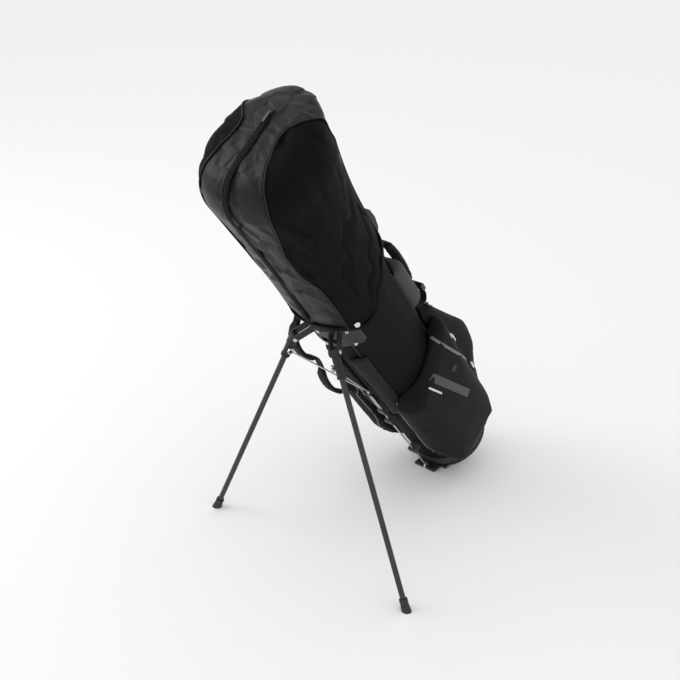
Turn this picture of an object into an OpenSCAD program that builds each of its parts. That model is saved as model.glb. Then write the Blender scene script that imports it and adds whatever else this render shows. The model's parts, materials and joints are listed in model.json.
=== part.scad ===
// Stand bag for golf clubs, leaning on its two legs, with a rain hood over the clubs.
// The bag is drawn upright on its own axis (x across, y towards the spine, z along the
// axis, legs on the -y side) and on_bag() leans it. The row's origin is on the sloping
// heel face that the base rests on, in the middle plane just ahead of the heel's edge.

/* [Bag body] */
// Lean of the bag's axis from upright when it stands on its legs, degrees
lean = 37; // [34:1:40]
// Length of the body along the axis, up to the front of its mouth
body_h = 820; // [790:5:850]
// Half width of the tube at the base
tube_rx = 94; // [90:1:98]
// Half depth of the tube at the base
tube_ry = 100; // [96:1:104]
// How much the half width and half depth grow up to the mouth
tube_flare = 9; // [6:1:11]
// Thickness of the padded fabric wall
wall = 3; // [2:0.5:4]
// Slope of the mouth, higher on the spine side, degrees
mouth_slope = 20; // [15:1:24]

/* [Cuff and dividers] */
// Length of the moulded cuff along the axis
cuff_h = 62; // [50:1:75]
// Thickness of the cuff outside the tube
cuff_t = 5; // [4:0.5:6]
// Thickness of the divider bars
bar_t = 8; // [6:1:9]
// Depth of the divider bars
bar_h = 46; // [35:1:60]

/* [Base] */
// Height of the moulded base cup
base_h = 62; // [52:1:75]
// Wall of the base cup
cup_t = 5; // [4:0.5:6]
// Distance from the bag's axis to the line where the sloping heel starts
heel_in = 83; // [80:1:86]
// Thickness of the rubber sole
sole_t = 8; // [7:0.5:9]
// Width of the tread grooves
groove_w = 5; // [3:1:7]
// Width of the rocker pedal
pedal_w = 64; // [54:2:80]

/* [Legs] */
// Length of a leg from its hinge to the ground
leg_len = 605; // [590:5:620]
// Outer radius of the leg tube
leg_r = 6.5; // [6:0.25:7]
// Angle between each leg's swing plane and straight ahead, degrees
splay = 33.5; // [30:0.5:36]
// Distance of each hinge from the middle plane
pivot_x = 60; // [57:1:64]
// Distance of the hinges in front of the tube's wall
pivot_out = 36; // [34:1:39]
// How much higher the hinges sit along the axis than the legs are long
pivot_rise = 134; // [126:1:138]
// Radius of the hinge pins
pin_r = 3; // [2.5:0.25:3.5]
// Height of the rubber boots
boot_h = 40; // [32:1:50]

/* [Leg mechanism] */
// Radius of the push rod
rod_r = 2.6; // [2.2:0.1:3]
// Radius of the two wire arms
wire_r = 2; // [1.75:0.05:2.2]
// Height of the yoke that the wire arms hang on
yoke_z = 470; // [460:1:480]
// Distance from a leg's hinge to the wire's lug
lug_d = 33; // [31:0.5:35]

/* [Pockets] */
// Outermost half width of the side pockets
side_x = 138; // [132:1:144]
// Height of the top of the side pockets at the middle of the side
side_top = 477; // [460:1:490]
// Height of the bottom of the side pockets
side_low = 74; // [70:1:84]
// Distance of the ball pocket's outer edge from the axis
ball_y = 182; // [174:1:190]
// Half width of the ball pocket
ball_x = 80; // [74:1:84]
// Distance of the valuables pocket's face from the axis
value_y = 119; // [117:1:124]
// Height of the bottom of the valuables pocket
value_low = 597; // [590:1:604]
// Length of the valuables pocket along the bag
value_h = 141; // [130:1:146]

/* [Straps] */
// Top of the shoulder pads
strap_top = 766; // [758:1:772]
// Length of the shoulder pads
strap_l = 146; // [136:1:150]
// Distance of the shoulder pads from the middle plane
strap_x = 31; // [30:0.5:33]
// Height of the strap buckles
buckle_z = 560; // [554:1:566]
// Distance of the hanging belly strap from the middle plane
belly_x = 98; // [97:0.5:100]
// How far the belly strap hangs out in front of the axis
belly_y = 137; // [134:1:140]

/* [Hood] */
// Half width of the hood at its shoulder
hood_x = 135; // [132:1:138]
// Height of the hood's shoulder, where the dome starts
shoulder_z = 1152; // [1148:1:1160]
// Height of the dome above the shoulder
dome_h = 84; // [80:1:90]
// Half width of the hood at its waist
waist_x = 122; // [120:1:124]
// Distance of the hood's front from the axis at its waist
waist_front = 110; // [109:0.5:112]
// Distance of the hood's back from the axis at its waist
waist_back = 122.5; // [122:0.5:126]
// How far the back of the dome is pushed out where the longest club leans on it
peak = 36; // [32:1:40]
// Thickness of the hood's coated fabric
hood_t = 2; // [1.5:0.25:2.5]

/* [Clubs] */
// Length of the driver
driver_len = 1150; // [1130:5:1160]
// How much shorter the fairway wood is than the driver
wood_less = 70; // [60:5:80]
// How much shorter the hybrid is than the driver
hybrid_less = 135; // [125:5:140]
// How much shorter the iron is than the driver
iron_less = 210; // [200:1:215]
// How much shorter the wedge is than the driver
wedge_less = 255; // [250:1:260]
// How much shorter the putter is than the driver
putter_less = 275; // [270:1:280]
// Length of the rubber grips
grip_len = 265; // [240:5:280]

/* [Fits] */
// Gap at a seat between two pieces of one body
seat = 0.3; // [0.2:0.05:0.4]
// Radial clearance of a shaft that turns or slides in a bore
run = 0.06; // [0.03:0.01:0.09]
// Clearance of the loose wire eyes, which take up the linkage's bow
loose = 3.4; // [3.2:0.1:3.8]
// Clearance between the hood and the cuff that it slides over
hood_gap = 3; // [2.6:0.1:3.6]

/* [Hidden] */
$fn = 40;
big = 3000;
oval_n = 56;

// Half width and half depth of the tube's outside at a height
function tube_x(z) = tube_rx + tube_flare * z / body_h;
function tube_y(z) = tube_ry + tube_flare * z / body_h;

// Base outline and the row's origin on its sloping heel
base_rx = tube_rx + cup_t + seat;
base_ry = tube_ry + cup_t + seat;
heel_edge = 3;
heel_y = -heel_in - heel_edge * cos(lean);
heel_z = heel_edge * sin(lean);
floor_t = 9;
base_round = 11;
base_round_h = 26;
floor_z = (base_ry - heel_in) * tan(lean) + floor_t;

// World height and world y of a point of the bag's own frame, and the way back
function world_z(y, z) = (z - heel_z) * cos(lean) + (y - heel_y) * sin(lean);
function world_y(y, z) = (y - heel_y) * cos(lean) - (z - heel_z) * sin(lean);
function mouth_z(y, top = 0) =
    body_h - top + (y + tube_y(body_h)) * tan(mouth_slope);

// Leg hinges and the swing that brings the feet to the ground
pivot_z = leg_len + pivot_rise;
pivot_y = -tube_y(pivot_z) - pivot_out;
screw_up = [-40, 12];
reach = norm([cos(splay) * sin(lean), cos(lean)]);
swing = atan2(cos(splay) * sin(lean), cos(lean))
    + acos(world_z(pivot_y, pivot_z) / (leg_len * reach));
knuckle_w = 15;
ear_t = 4;
ear_r = 9;
sleeve_r = leg_r + 3;
sleeve_l = 58;
boot_r = leg_r + 2.5;

// Linkage: lug on the leg, wire arm, yoke, push rod, rocker pedal
lug_x = -sleeve_r - 5;
yoke_x = 8;
rod_y = -tube_y(yoke_z) - 12;
function lug_at(a) = [pivot_x, pivot_y, pivot_z]
    + lug_d * [sin(splay) * sin(a), -cos(splay) * sin(a), -cos(a)]
    + lug_x * [cos(splay), sin(splay), 0];
yoke_at = [yoke_x, rod_y, yoke_z];
arm_open = lug_at(swing) - yoke_at;
arm_len = norm(arm_open);
fold_xy = lug_at(0) - yoke_at;
stroke = yoke_z - lug_at(0)[2] + sqrt(pow(arm_len, 2) - pow(fold_xy[0], 2) - pow(fold_xy[1], 2));
arm_shut = lug_at(0) - yoke_at + [0, 0, stroke];
arm_axis = cross(arm_shut, arm_open) / norm(cross(arm_shut, arm_open));
clip_z = yoke_z - 112;
wire_gap = 4;

// Pedal: its pin, the bar on its raised lugs, and the slotted eye of the rod on that bar
pedal_t = 7;
pedal_pin_r = 2.5;
pedal_pin_z = 5;
lug_up = 5.5;
lug_gap = 5;
lug_w = 4;
rod_bar_r = 1.5;
eye_slack = 1;
eye_rim = 1.8;
pedal_arm = (stroke + lug_up * (1 - cos(lean))) / sin(lean);
pedal_y = rod_y + (pedal_arm * (1 + cos(lean)) - lug_up * sin(lean)) / 2;
pedal_z = heel_z + (pedal_pin_z - (pedal_y - heel_y) * sin(lean)) / cos(lean);
pedal_row_y = world_y(pedal_y, pedal_z);
eye_reach = (pedal_arm * (1 - cos(lean)) + lug_up * sin(lean)) / 2;
rod_foot_z = pedal_z + pedal_arm * sin(lean) + lug_up * cos(lean);
pedal_play = 1;
pedal_heel = 7;
boss_w = 14;

// Hood: hem with its two low tongues, shoulder and dome
shoulder_front = 112;
shoulder_back = 144.5;
dome_y = 47.6;
hood_p = 2.4;
hem_ease = 7;
hem_rx = tube_x(body_h) + cuff_t + hood_gap + hood_t + hem_ease;
hem_ry = tube_y(body_h) + cuff_t + hood_gap + hood_t;
hem_drop = 31.8;
tongue_h = 54;
tongue_a = 68.4;
tongue_w = 31.7;
function hem_z(a) = mouth_z(hem_ry * sin(a), hem_drop)
    - tongue_h * exp(-pow((asin(abs(cos(a))) - tongue_a) / tongue_w, 2)) * max(0, min(1, (0.35 - sin(a)) * 2));

// Club positions (x, y of the shaft) and lengths
clubs = [["driver", [-44, 58], driver_len], ["wood", [46, 56], driver_len - wood_less],
    ["hybrid", [-60, -4], driver_len - hybrid_less], ["iron", [60, -4], driver_len - iron_less],
    ["wedge", [-44, -60], driver_len - wedge_less], ["putter", [40, -62], driver_len - putter_less]];
butt_r = 13.4;
grip_tip_r = 9.2;
butt_shaft_r = 7.6;
tip_shaft_r = 4.6;
bar_y = [26, -33];

// ---------------------------------------------------------------- shared shapes

// Points of an oval: p = 2 is an ellipse and a larger p is squarer
function oval(rx, ry, p = 2, n = oval_n) = [for (i = [0:n - 1]) let (a = 360 * i / n)
    [rx * sign(cos(a)) * pow(abs(cos(a)), 2 / p), ry * sign(sin(a)) * pow(abs(sin(a)), 2 / p)]];

// The same oval as a ring in space, its centre moved to cy
function ring(rx, ry, z, cy = 0, p = 2, n = oval_n) =
    [for (q = oval(rx, ry, p, n)) [q[0], q[1] + cy, z]];

// Solid skin over a stack of rings with equal numbers of points
module loft(rings) {
    n = len(rings[0]);
    m = len(rings);
    polyhedron(points = [for (r = rings) each r],
        faces = concat([[for (i = [0:n - 1]) i]],
            [for (j = [0:m - 2], i = [0:n - 1]) let (k = (i + 1) % n) each
                [[j * n + i, (j + 1) * n + i, (j + 1) * n + k],
                [j * n + i, (j + 1) * n + k, j * n + k]]],
            [[for (i = [n - 1:-1:0]) (m - 1) * n + i]]));
}

// Flaring tube body between two heights, grown outwards by g
module tube_body(g, z0, z1)
    loft([ring(tube_x(z0) + g, tube_y(z0) + g, z0), ring(tube_x(z1) + g, tube_y(z1) + g, z1)]);

// Round bar from point a to point b
module bar(a, b, r) {
    d = b - a;
    translate(a) rotate([0, acos(d[2] / norm(d)), atan2(d[1], d[0])])
        cylinder(h = norm(d), r = r);
}

// Everything lower than a plane parallel to the mouth, top below it
module under_mouth(top)
    translate([0, -tube_y(body_h), body_h - top]) rotate([mouth_slope, 0, 0])
        translate([-big / 2, -big / 2, -big]) cube([big, big, big]);

// Everything more than h above the ground, in the bag's own frame
module above_ground(h)
    translate([0, heel_y, heel_z]) rotate([-lean, 0, 0])
        translate([-big / 2, -big / 2, h]) cube([big, big, big]);

// Leans the bag's own frame back onto its heel
module on_bag() rotate([lean, 0, 0]) translate([0, -heel_y, -heel_z]) children();

// Frame of one hinge: x along its pin, z along the bag
module at_hinge(side)
    on_bag() translate([side * pivot_x, pivot_y, pivot_z]) rotate([0, 0, side * splay]) children();

// Frame of one leg, hanging down -z from its hinge
module on_leg(side) at_hinge(side) rotate([-swing, 0, 0]) children();

// Turns a child's z onto direction v
module facing(v) rotate([0, acos(v[2] / norm(v)), atan2(v[1], v[0])]) children();

// ---------------------------------------------------------------- bag body

module bag_tube() color([0.09, 0.09, 0.1]) on_bag() difference() {
    intersection() {
        tube_body(0, floor_z + seat, body_h + 130);
        under_mouth(10);
    }
    tube_body(-wall, floor_z - 1, body_h + 140);
}

module top_cuff() color([0.07, 0.07, 0.08]) on_bag() difference() {
    intersection() {
        tube_body(cuff_t, body_h - cuff_h - 10, body_h + 130);
        under_mouth(0);
    }
    under_mouth(cuff_h);
    intersection() {
        tube_body(seat, 0, body_h + 130);
        under_mouth(10 - seat);
    }
    tube_body(-wall - 4, 0, body_h + 140);
    // grip flutes round the front and sides
    for (a = [180:12:360]) let (x = tube_x(body_h) + cuff_t, y = tube_y(body_h) + cuff_t)
        translate([x * cos(a), y * sin(a), 0]) cylinder(h = mouth_z(y * sin(a), 26), r = 1.6, $fn = 16);
}

module cuff_dividers() color([0.16, 0.16, 0.17]) on_bag() difference() {
    intersection() {
        tube_body(-wall - 4 - seat, body_h - 120, body_h + 130);
        under_mouth(6);
        union() {
            for (y = bar_y) translate([-150, y - bar_t / 2, 0]) cube([300, bar_t, big]);
            translate([-bar_t / 2, -200, 0]) cube([bar_t, 400, big]);
        }
    }
    under_mouth(6 + bar_h);
}

module stay_rods() color([0.75, 0.74, 0.68]) on_bag() for (s = [-1, 1]) {
    low = floor_z + seat;
    top = mouth_z(0, 13);
    bar([s * (tube_x(low) - wall - 2.5 - seat), 0, low],
        [s * (tube_x(top) - wall - 2.5 - seat), 0, top], 2.5);
}

// ---------------------------------------------------------------- base

module base_form(z1) loft([ring(base_rx - base_round, base_ry - base_round, 0),
    ring(base_rx - base_round * 0.3, base_ry - base_round * 0.3, base_round_h * 0.45),
    ring(base_rx, base_ry, base_round_h), ring(base_rx, base_ry, z1)]);

// Slot in the heel for the pedal, with w the half width and f the reach behind its pin
module heel_window(w, h) translate([-w, pedal_row_y - 120, -1])
    cube([2 * w, 120 + pedal_heel + seat, h + 1]);

// Something round along the pedal's pin
module on_pedal_pin(half, r) translate([-half, pedal_row_y, pedal_pin_z]) rotate([0, 90, 0])
    cylinder(h = 2 * half, r = r);

// What lies within the sole's thickness of the ground or of the flat bottom
module sole_skin() difference() {
    intersection() {
        base_form(base_h);
        above_ground(0);
    }
    intersection() {
        translate([0, 0, sole_t]) base_form(base_h);
        above_ground(sole_t);
    }
}

module base_sole() color([0.12, 0.12, 0.12]) difference() {
    on_bag() difference() {
        sole_skin();
        for (y = [-heel_in + 20:16:base_ry]) translate([-big / 2, y, -1]) cube([big, groove_w, 4]);
        for (a = [-40:10:220]) rotate([0, 0, a]) translate([base_rx - base_round - 8, -1.5, -1])
            cube([40, 3, 6]);
    }
    heel_window(pedal_w / 2 + boss_w + 2 * pedal_play, base_h);
}

module base_cup() color([0.2, 0.2, 0.21]) difference() {
    union() {
        difference() {
            on_bag() difference() {
                intersection() {
                    translate([0, 0, sole_t]) base_form(base_h - sole_t);
                    above_ground(sole_t);
                }
                intersection() {
                    tube_body(seat, floor_z, base_h + 1);
                    translate([0, 0, floor_z]) cylinder(h = big, r = big);
                }
                // raised ribs are left between shallow scoops round the spine side
                for (a = [-50:9:230]) translate([base_rx * cos(a), base_ry * sin(a), sole_t + 10])
                    cylinder(h = base_h - sole_t - 20, r = 2.2, $fn = 16);
            }
            heel_window(pedal_w / 2 + pedal_play, pedal_t + 6);
        }
        // bosses that carry the pedal's pin
        for (s = [-1, 1]) translate([s * (pedal_w / 2 + pedal_play + boss_w / 2) - boss_w / 2,
            pedal_row_y - pedal_heel, 1.5]) cube([boss_w, 2 * pedal_heel, sole_t - 1]);
    }
    on_pedal_pin(big, pedal_pin_r + run);
}

module base_rocker() color([0.14, 0.14, 0.14]) {
    difference() {
        union() {
            translate([-pedal_w / 2, pedal_row_y - pedal_arm - 10, 0])
                cube([pedal_w, pedal_arm + 10, pedal_t]);
            on_pedal_pin(pedal_w / 2, pedal_pin_z);
            // lugs that lift the rod's bar over the plate
            for (s = [-1, 1]) translate([s * (lug_gap + lug_w / 2) - lug_w / 2,
                pedal_row_y - pedal_arm - 3.6, 1]) cube([lug_w, 7.2, pedal_pin_z + lug_up + 1.5]);
        }
        on_pedal_pin(pedal_w, pedal_pin_r + run);
        translate([-lug_gap, pedal_row_y - pedal_arm - 16, -1])
            cube([2 * lug_gap, pedal_arm + 6, big]);
        for (s = [-1, 1], y = [8:8:pedal_arm]) translate([s * 21 - 8, pedal_row_y - y - 6, -1])
            cube([16, 2.5, 2.5]);
    }
    translate([-lug_gap - 1, pedal_row_y - pedal_arm, pedal_pin_z + lug_up]) rotate([0, 90, 0])
        cylinder(h = 2 * lug_gap + 2, r = rod_bar_r);
}

module rocker_pin() color([0.7, 0.7, 0.72]) on_pedal_pin(pedal_w / 2 + boss_w, pedal_pin_r);

// ---------------------------------------------------------------- legs

module leg_bracket() color([0.3, 0.3, 0.31]) difference() {
    union() {
        on_bag() difference() {
            intersection() {
                tube_body(8, pivot_z - 46, pivot_z + 40);
                translate([-pivot_x - 18, -250, pivot_z - 46]) cube([2 * pivot_x + 36, 200, 86]);
                under_mouth(cuff_h + seat);
            }
            tube_body(seat, pivot_z - 60, pivot_z + 60);
            // two open bays leave ribs between the hinges
            for (x = [-30, 0, 30]) translate([x - 10, -250, pivot_z - 36]) cube([20, 300, 22]);
        }
        for (s = [-1, 1], e = [-1, 1]) at_hinge(s)
            translate([e * (knuckle_w + ear_t + 0.8) / 2 - ear_t / 2, 0, 0]) {
                rotate([0, 90, 0]) cylinder(h = ear_t, r = ear_r);
                translate([0, 0, -ear_r]) cube([ear_t, pivot_out * 1.6, 2 * ear_r]);
            }
    }
    on_bag() tube_body(seat, pivot_z - 80, pivot_z + 80);
    for (s = [-1, 1]) at_hinge(s) translate([-20, 0, 0]) rotate([0, 90, 0])
        cylinder(h = 40, r = pin_r + run);
    screw_axes(2.2, 30);
}

// Screw places: six round the bracket, pointing in at the tube
module screw_axes(r, h) on_bag() for (x = [-1, 0, 1], z = screw_up) {
    a = x * (pivot_x + 2) / tube_x(pivot_z) * 60;
    p = [tube_x(pivot_z) * sin(a), -tube_y(pivot_z) * cos(a), pivot_z + z];
    translate(p) rotate([90, 0, a]) translate([0, 0, -wall]) cylinder(h = h, r = r, $fn = 24);
}

module bracket_screws() color([0.75, 0.75, 0.77]) on_bag()
    for (x = [-1, 0, 1], z = screw_up) {
        a = x * (pivot_x + 2) / tube_x(pivot_z) * 60;
        p = [tube_x(pivot_z) * sin(a), -tube_y(pivot_z) * cos(a), pivot_z + z];
        translate(p) rotate([90, 0, a]) {
            translate([0, 0, seat + 0.2]) cylinder(h = 9, r = 2, $fn = 24);
            translate([0, 0, 9 + seat]) difference() {
                cylinder(h = 2.4, r1 = 4.4, r2 = 3.4, $fn = 24);
                translate([-4, -0.5, 1.4]) cube([8, 1, 2]);
            }
        }
    }

module hinge_pins() color([0.8, 0.8, 0.82]) for (s = [-1, 1]) at_hinge(s) {
    half = knuckle_w / 2 + ear_t + 0.8;
    translate([-half, 0, 0]) rotate([0, 90, 0]) cylinder(h = 2 * half, r = pin_r);
    for (e = [-1, 1]) translate([e * (half + 1.1), 0, 0]) rotate([0, 90 * e, 0])
        translate([0, 0, -1]) cylinder(h = 2.6, r1 = pin_r + 2.6, r2 = pin_r + 1);
}

module leg_knuckle(side) color([0.24, 0.24, 0.25]) on_leg(side) difference() {
    union() {
        translate([-knuckle_w / 2, 0, 0]) rotate([0, 90, 0]) cylinder(h = knuckle_w, r = ear_r + 1);
        translate([-knuckle_w / 2, -ear_r + 1, -22]) cube([knuckle_w, 2 * ear_r - 2, 22]);
        translate([0, 0, -sleeve_l]) cylinder(h = sleeve_l - 12, r = sleeve_r);
        translate([0, 0, -sleeve_l]) cylinder(h = 5, r = sleeve_r + 1.2);
        // lug for the wire arm's eye, on the side that faces the middle of the bag
        translate([0, 0, -lug_d]) rotate([0, -90 * side, 0]) {
            cylinder(h = sleeve_r + 8, r = wire_r + 0.2);
            cylinder(h = sleeve_r + 2, r = wire_r + 2);
        }
    }
    translate([-knuckle_w, 0, 0]) rotate([0, 90, 0]) cylinder(h = 2 * knuckle_w, r = pin_r + run);
    translate([0, 0, -sleeve_l - 1]) cylinder(h = sleeve_l - 15, r = leg_r + run);
}

module leg_tube(side) color([0.22, 0.22, 0.23]) on_leg(side)
    translate([0, 0, -leg_len + 10]) difference() {
        cylinder(h = leg_len - 10 - 17, r = leg_r);
        translate([0, 0, -1]) cylinder(h = leg_len, r = leg_r - 1.1);
    }

module leg_boot(side) color([0.3, 0.3, 0.3]) intersection() {
    on_leg(side) difference() {
        union() {
            translate([0, 0, -leg_len - 20]) cylinder(h = boot_h, r1 = boot_r + 4.5, r2 = boot_r);
            translate([0, 0, -leg_len + boot_h - 20.01]) cylinder(h = 9, r = boot_r + 0.8);
        }
        translate([0, 0, -leg_len + 9]) cylinder(h = leg_len, r = leg_r + run);
    }
    translate([-big / 2, -big / 2, 0]) cube([big, big, big]);
}

module right_leg_knuckle() leg_knuckle(1);
module right_leg_tube() leg_tube(1);
module right_leg_boot() leg_boot(1);
module left_leg_knuckle() leg_knuckle(-1);
module left_leg_tube() leg_tube(-1);
module left_leg_boot() leg_boot(-1);

// ---------------------------------------------------------------- leg mechanism

// Outline of the rod's slotted eye, r the radius of its round ends
module eye_slot(r) {
    for (s = [-1, 1]) translate([0, s * eye_reach]) circle(r = r);
    square([2 * r, 2 * eye_reach], center = true);
}

module push_rod() color([0.72, 0.72, 0.74]) on_bag() {
    translate([0, rod_y, rod_foot_z + rod_bar_r + eye_slack + eye_rim / 2])
        cylinder(h = clip_z - rod_foot_z - rod_bar_r - eye_slack - eye_rim / 2, r = rod_r);
    for (s = [-1, 1]) translate([s * wire_gap, rod_y, clip_z + 8])
        cylinder(h = yoke_z - clip_z - 16, r = wire_r);
    // slotted eye that hangs on the pedal's bar
    translate([0, rod_y, rod_foot_z]) rotate([0, 90, 0]) linear_extrude(4, center = true) difference() {
        eye_slot(rod_bar_r + eye_slack + eye_rim);
        eye_slot(rod_bar_r + eye_slack);
    }
}

module rod_clip() color([0.35, 0.35, 0.36]) on_bag() difference() {
    translate([-10, rod_y - 5, clip_z - 8]) cube([20, 10, 20]);
    translate([0, rod_y, clip_z - 9]) cylinder(h = 9, r = rod_r + run);
    for (s = [-1, 1]) translate([s * wire_gap, rod_y, clip_z + 8]) cylinder(h = 9, r = wire_r + run);
}

module wire_yoke() color([0.35, 0.35, 0.36]) on_bag() {
    difference() {
        translate([-9, rod_y - 4.5, yoke_z - 19]) cube([18, 9, 12]);
        for (s = [-1, 1]) translate([s * wire_gap, rod_y, yoke_z - 19])
            cylinder(h = 11, r = wire_r + run);
    }
    // cheek and pin for each wire's lower eye
    for (s = [-1, 1]) mirror([s < 0 ? 1 : 0, 0, 0]) {
        translate([yoke_x, rod_y, yoke_z]) facing(arm_axis)
            translate([0, 0, -10.4]) cylinder(h = 16, r = 2.4, $fn = 32);
        translate([-1, rod_y - 9, yoke_z - 8]) cube([5, 9, 11]);
    }
}

module wire_arm(side) color([0.78, 0.78, 0.8]) on_bag() mirror([side < 0 ? 1 : 0, 0, 0]) {
    lug = lug_at(swing);
    along = arm_open / arm_len;
    difference() {
        union() {
            bar(yoke_at + 5 * along, lug - (wire_r + loose + 1.5) * along, wire_r);
            translate(yoke_at) facing(arm_axis) translate([0, 0, -2]) cylinder(h = 4, r = 5.2);
        }
        translate(yoke_at) facing(arm_axis) translate([0, 0, -6]) cylinder(h = 12, r = 2.4 + run);
    }
    translate(lug) rotate([0, 0, splay]) rotate([0, 90, 0]) difference() {
        translate([0, 0, -1.8]) cylinder(h = 3.6, r = wire_r + 0.2 + loose + 2.4);
        translate([0, 0, -3]) cylinder(h = 6, r = wire_r + 0.2 + loose);
    }
}

module right_wire_arm() wire_arm(1);
module left_wire_arm() wire_arm(-1);

module rod_guides() color([0.18, 0.18, 0.19]) on_bag() for (z = [128, 300]) difference() {
    translate([-12, rod_y - 7, z]) cube([24, -rod_y + 7 - 20, 15]);
    tube_body(seat, 20, clip_z);
    translate([0, rod_y, z - 1]) cylinder(h = 20, r = rod_r + run);
}

// ---------------------------------------------------------------- pockets

// Plan of a side pocket, from the axis out to w
side_p = 3.2;
module side_plan(w) translate([w / 2, -6]) polygon(oval(w / 2, tube_ry + 10, side_p));

// Front view of a side pocket: full below, thinner towards its sloping top
module side_front() polygon([[60, side_low], [tube_rx + 22, side_low], [side_x - 6, side_low + 48],
    [side_x, side_low + 120], [side_x, side_top - 170], [side_x - 8, side_top - 70],
    [tube_x(side_top) + 22, side_top + 40], [60, side_top + 60]]);

// Side view of a side pocket: a rounded bag that hangs to a blunt point
side_back = 104;
side_face = 116;
module side_profile() polygon([[-22, side_low], [-56, side_low + 12], [-86, side_low + 40], [-106, side_low + 84],
    [-side_face, side_low + 140], [-side_face, body_h], [side_back, body_h], [side_back, side_low + 150],
    [92, side_low + 88], [68, side_low + 38], [36, side_low + 10], [4, side_low]]);

module side_pocket() color([0.11, 0.11, 0.12]) on_bag() difference() {
    intersection() {
        rotate([90, 0, 90]) linear_extrude(side_x + 10) side_profile();
        linear_extrude(side_top + 100) side_plan(side_x);
        translate([0, 200, 0]) rotate([90, 0, 0]) linear_extrude(400) side_front();
        translate([-big / 2, 0, side_top]) rotate([28, 0, 0])
            translate([0, -big / 2, -big]) cube([big, big, big]);
    }
    tube_body(seat, 0, body_h);
    linear_extrude(base_h + seat) polygon(oval(base_rx + seat, base_ry + seat));
    translate([-ball_x - seat, 60, 0]) cube([2 * ball_x + 2 * seat, 200, body_h]);
    translate([-big / 2, rod_y - 30, 0]) cube([big / 2 + 34, 60, body_h]);
}

module right_side_pocket() side_pocket();
module left_side_pocket() mirror([1, 0, 0]) side_pocket();

module ball_pocket() color([0.1, 0.1, 0.11]) on_bag() difference() {
    intersection() {
        translate([0, 60, 0]) linear_extrude(body_h)
            translate([0, (ball_y - 60) / 2]) polygon(oval(ball_x, (ball_y - 60) / 2, 4.5));
        translate([-ball_x - 5, 0, 0]) rotate([90, 0, 90]) linear_extrude(2 * ball_x + 10)
            polygon([[60, side_low - 6], [tube_ry + 6, side_low - 6], [ball_y - 72, side_low + 46],
                [ball_y - 56, side_low + 96], [ball_y - 42, side_low + 144], [ball_y - 15, side_low + 214],
                [ball_y, side_low + 266], [ball_y - 26, side_low + 340], [tube_ry + 12, side_low + 462],
                [60, side_low + 480]]);
    }
    tube_body(seat, 0, body_h);
    linear_extrude(base_h + seat) polygon(oval(base_rx + seat, base_ry + seat));
}

value_x = 84;
module valuables_pocket() color([0.3, 0.3, 0.31]) on_bag() difference() {
    intersection() {
        translate([0, value_y / 2 + 10, value_low]) linear_extrude(value_h)
            polygon(oval(value_x, value_y / 2 - 10, 4));
        translate([-value_x, 0, value_low]) rotate([90, 0, 90]) linear_extrude(2 * value_x)
            polygon([[20, 0], [value_y - 6, 0], [value_y, 12], [value_y - 3, value_h * 0.72],
                [tube_y(value_low) + 2, value_h], [20, value_h]]);
    }
    tube_body(seat, 0, body_h);
}

// Body, bridge and pull of a zip slider, its travel along z and its face towards +x
module zip_slider() {
    translate([seat, -4, -6]) cube([3, 8, 12]);
    translate([seat + 3, -1.5, -4]) cube([1.8, 3, 8]);
    translate([seat + 4.4, -3, -24]) cube([1.4, 6, 24]);
}

// The side pockets' sliders sit on the rounded rear corner, facing square out of it
zip_y = 88;
zip_z = side_top - 10;
zip_in = pow(1 - pow((zip_y + 6) / (tube_ry + 10), side_p), 1 / side_p);
zip_face = atan2(pow((zip_y + 6) / (tube_ry + 10), side_p - 1) / (tube_ry + 10),
    pow(zip_in, side_p - 1) / (side_x / 2));
module side_slider() color([0.8, 0.8, 0.8]) on_bag()
    translate([side_x / 2 * (1 + zip_in), zip_y, zip_z]) rotate([0, 0, zip_face]) zip_slider();

module right_zip_slider() side_slider();
module left_zip_slider() mirror([1, 0, 0]) side_slider();
module ball_zip_slider() color([0.8, 0.8, 0.8]) on_bag()
    translate([ball_x, (60 + ball_y) / 2, side_low + 180]) zip_slider();

// ---------------------------------------------------------------- carrying

// Grab handle: a bent flat strap beside the cuff on the spine side
handle_y = tube_y(body_h) + cuff_t + 1;
handle_w = 38;
handle_z = body_h + 14;
module spine_handle() color([0.13, 0.13, 0.13]) on_bag()
    translate([-handle_w / 2, handle_y, handle_z]) rotate([90, 0, 90]) linear_extrude(handle_w) polygon(
        [[seat - 6, -58], [14, -57], [30, -37], [36, -8], [34, 20], [26, 36], [13, 41], [seat, 33],
        [seat, 20], [12, 29], [20, 24], [23, 8], [23, -6], [18, -28], [8, -40], [seat - 6, -42]]);

// Flat ribbon of thickness t along a path in the y-z plane, on the path's right-hand side
module ribbon(path, t) polygon(concat(path, [for (i = [len(path) - 1:-1:0])
    let (d = path[min(i + 1, len(path) - 1)] - path[max(i - 1, 0)])
    path[i] + t * [d[1], -d[0]] / norm(d)]));

// Side view of a shoulder strap pad, bowed over the valuables pocket
function strap_line(t, off) = [value_y + 1 + off + 9 * pow(sin(180 * t), 0.7), strap_top - strap_l * t];
module at_strap(w) for (s = [-1, 1]) translate([s * strap_x - w / 2, 0, 0]) rotate([90, 0, 90])
    linear_extrude(w) children();
module shoulder_straps() color([0.09, 0.09, 0.09]) on_bag() at_strap(38) polygon(concat(
    [for (t = [0:0.1:1]) strap_line(t, 0)], [for (t = [1:-0.1:0]) strap_line(t, 12)]));

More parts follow.
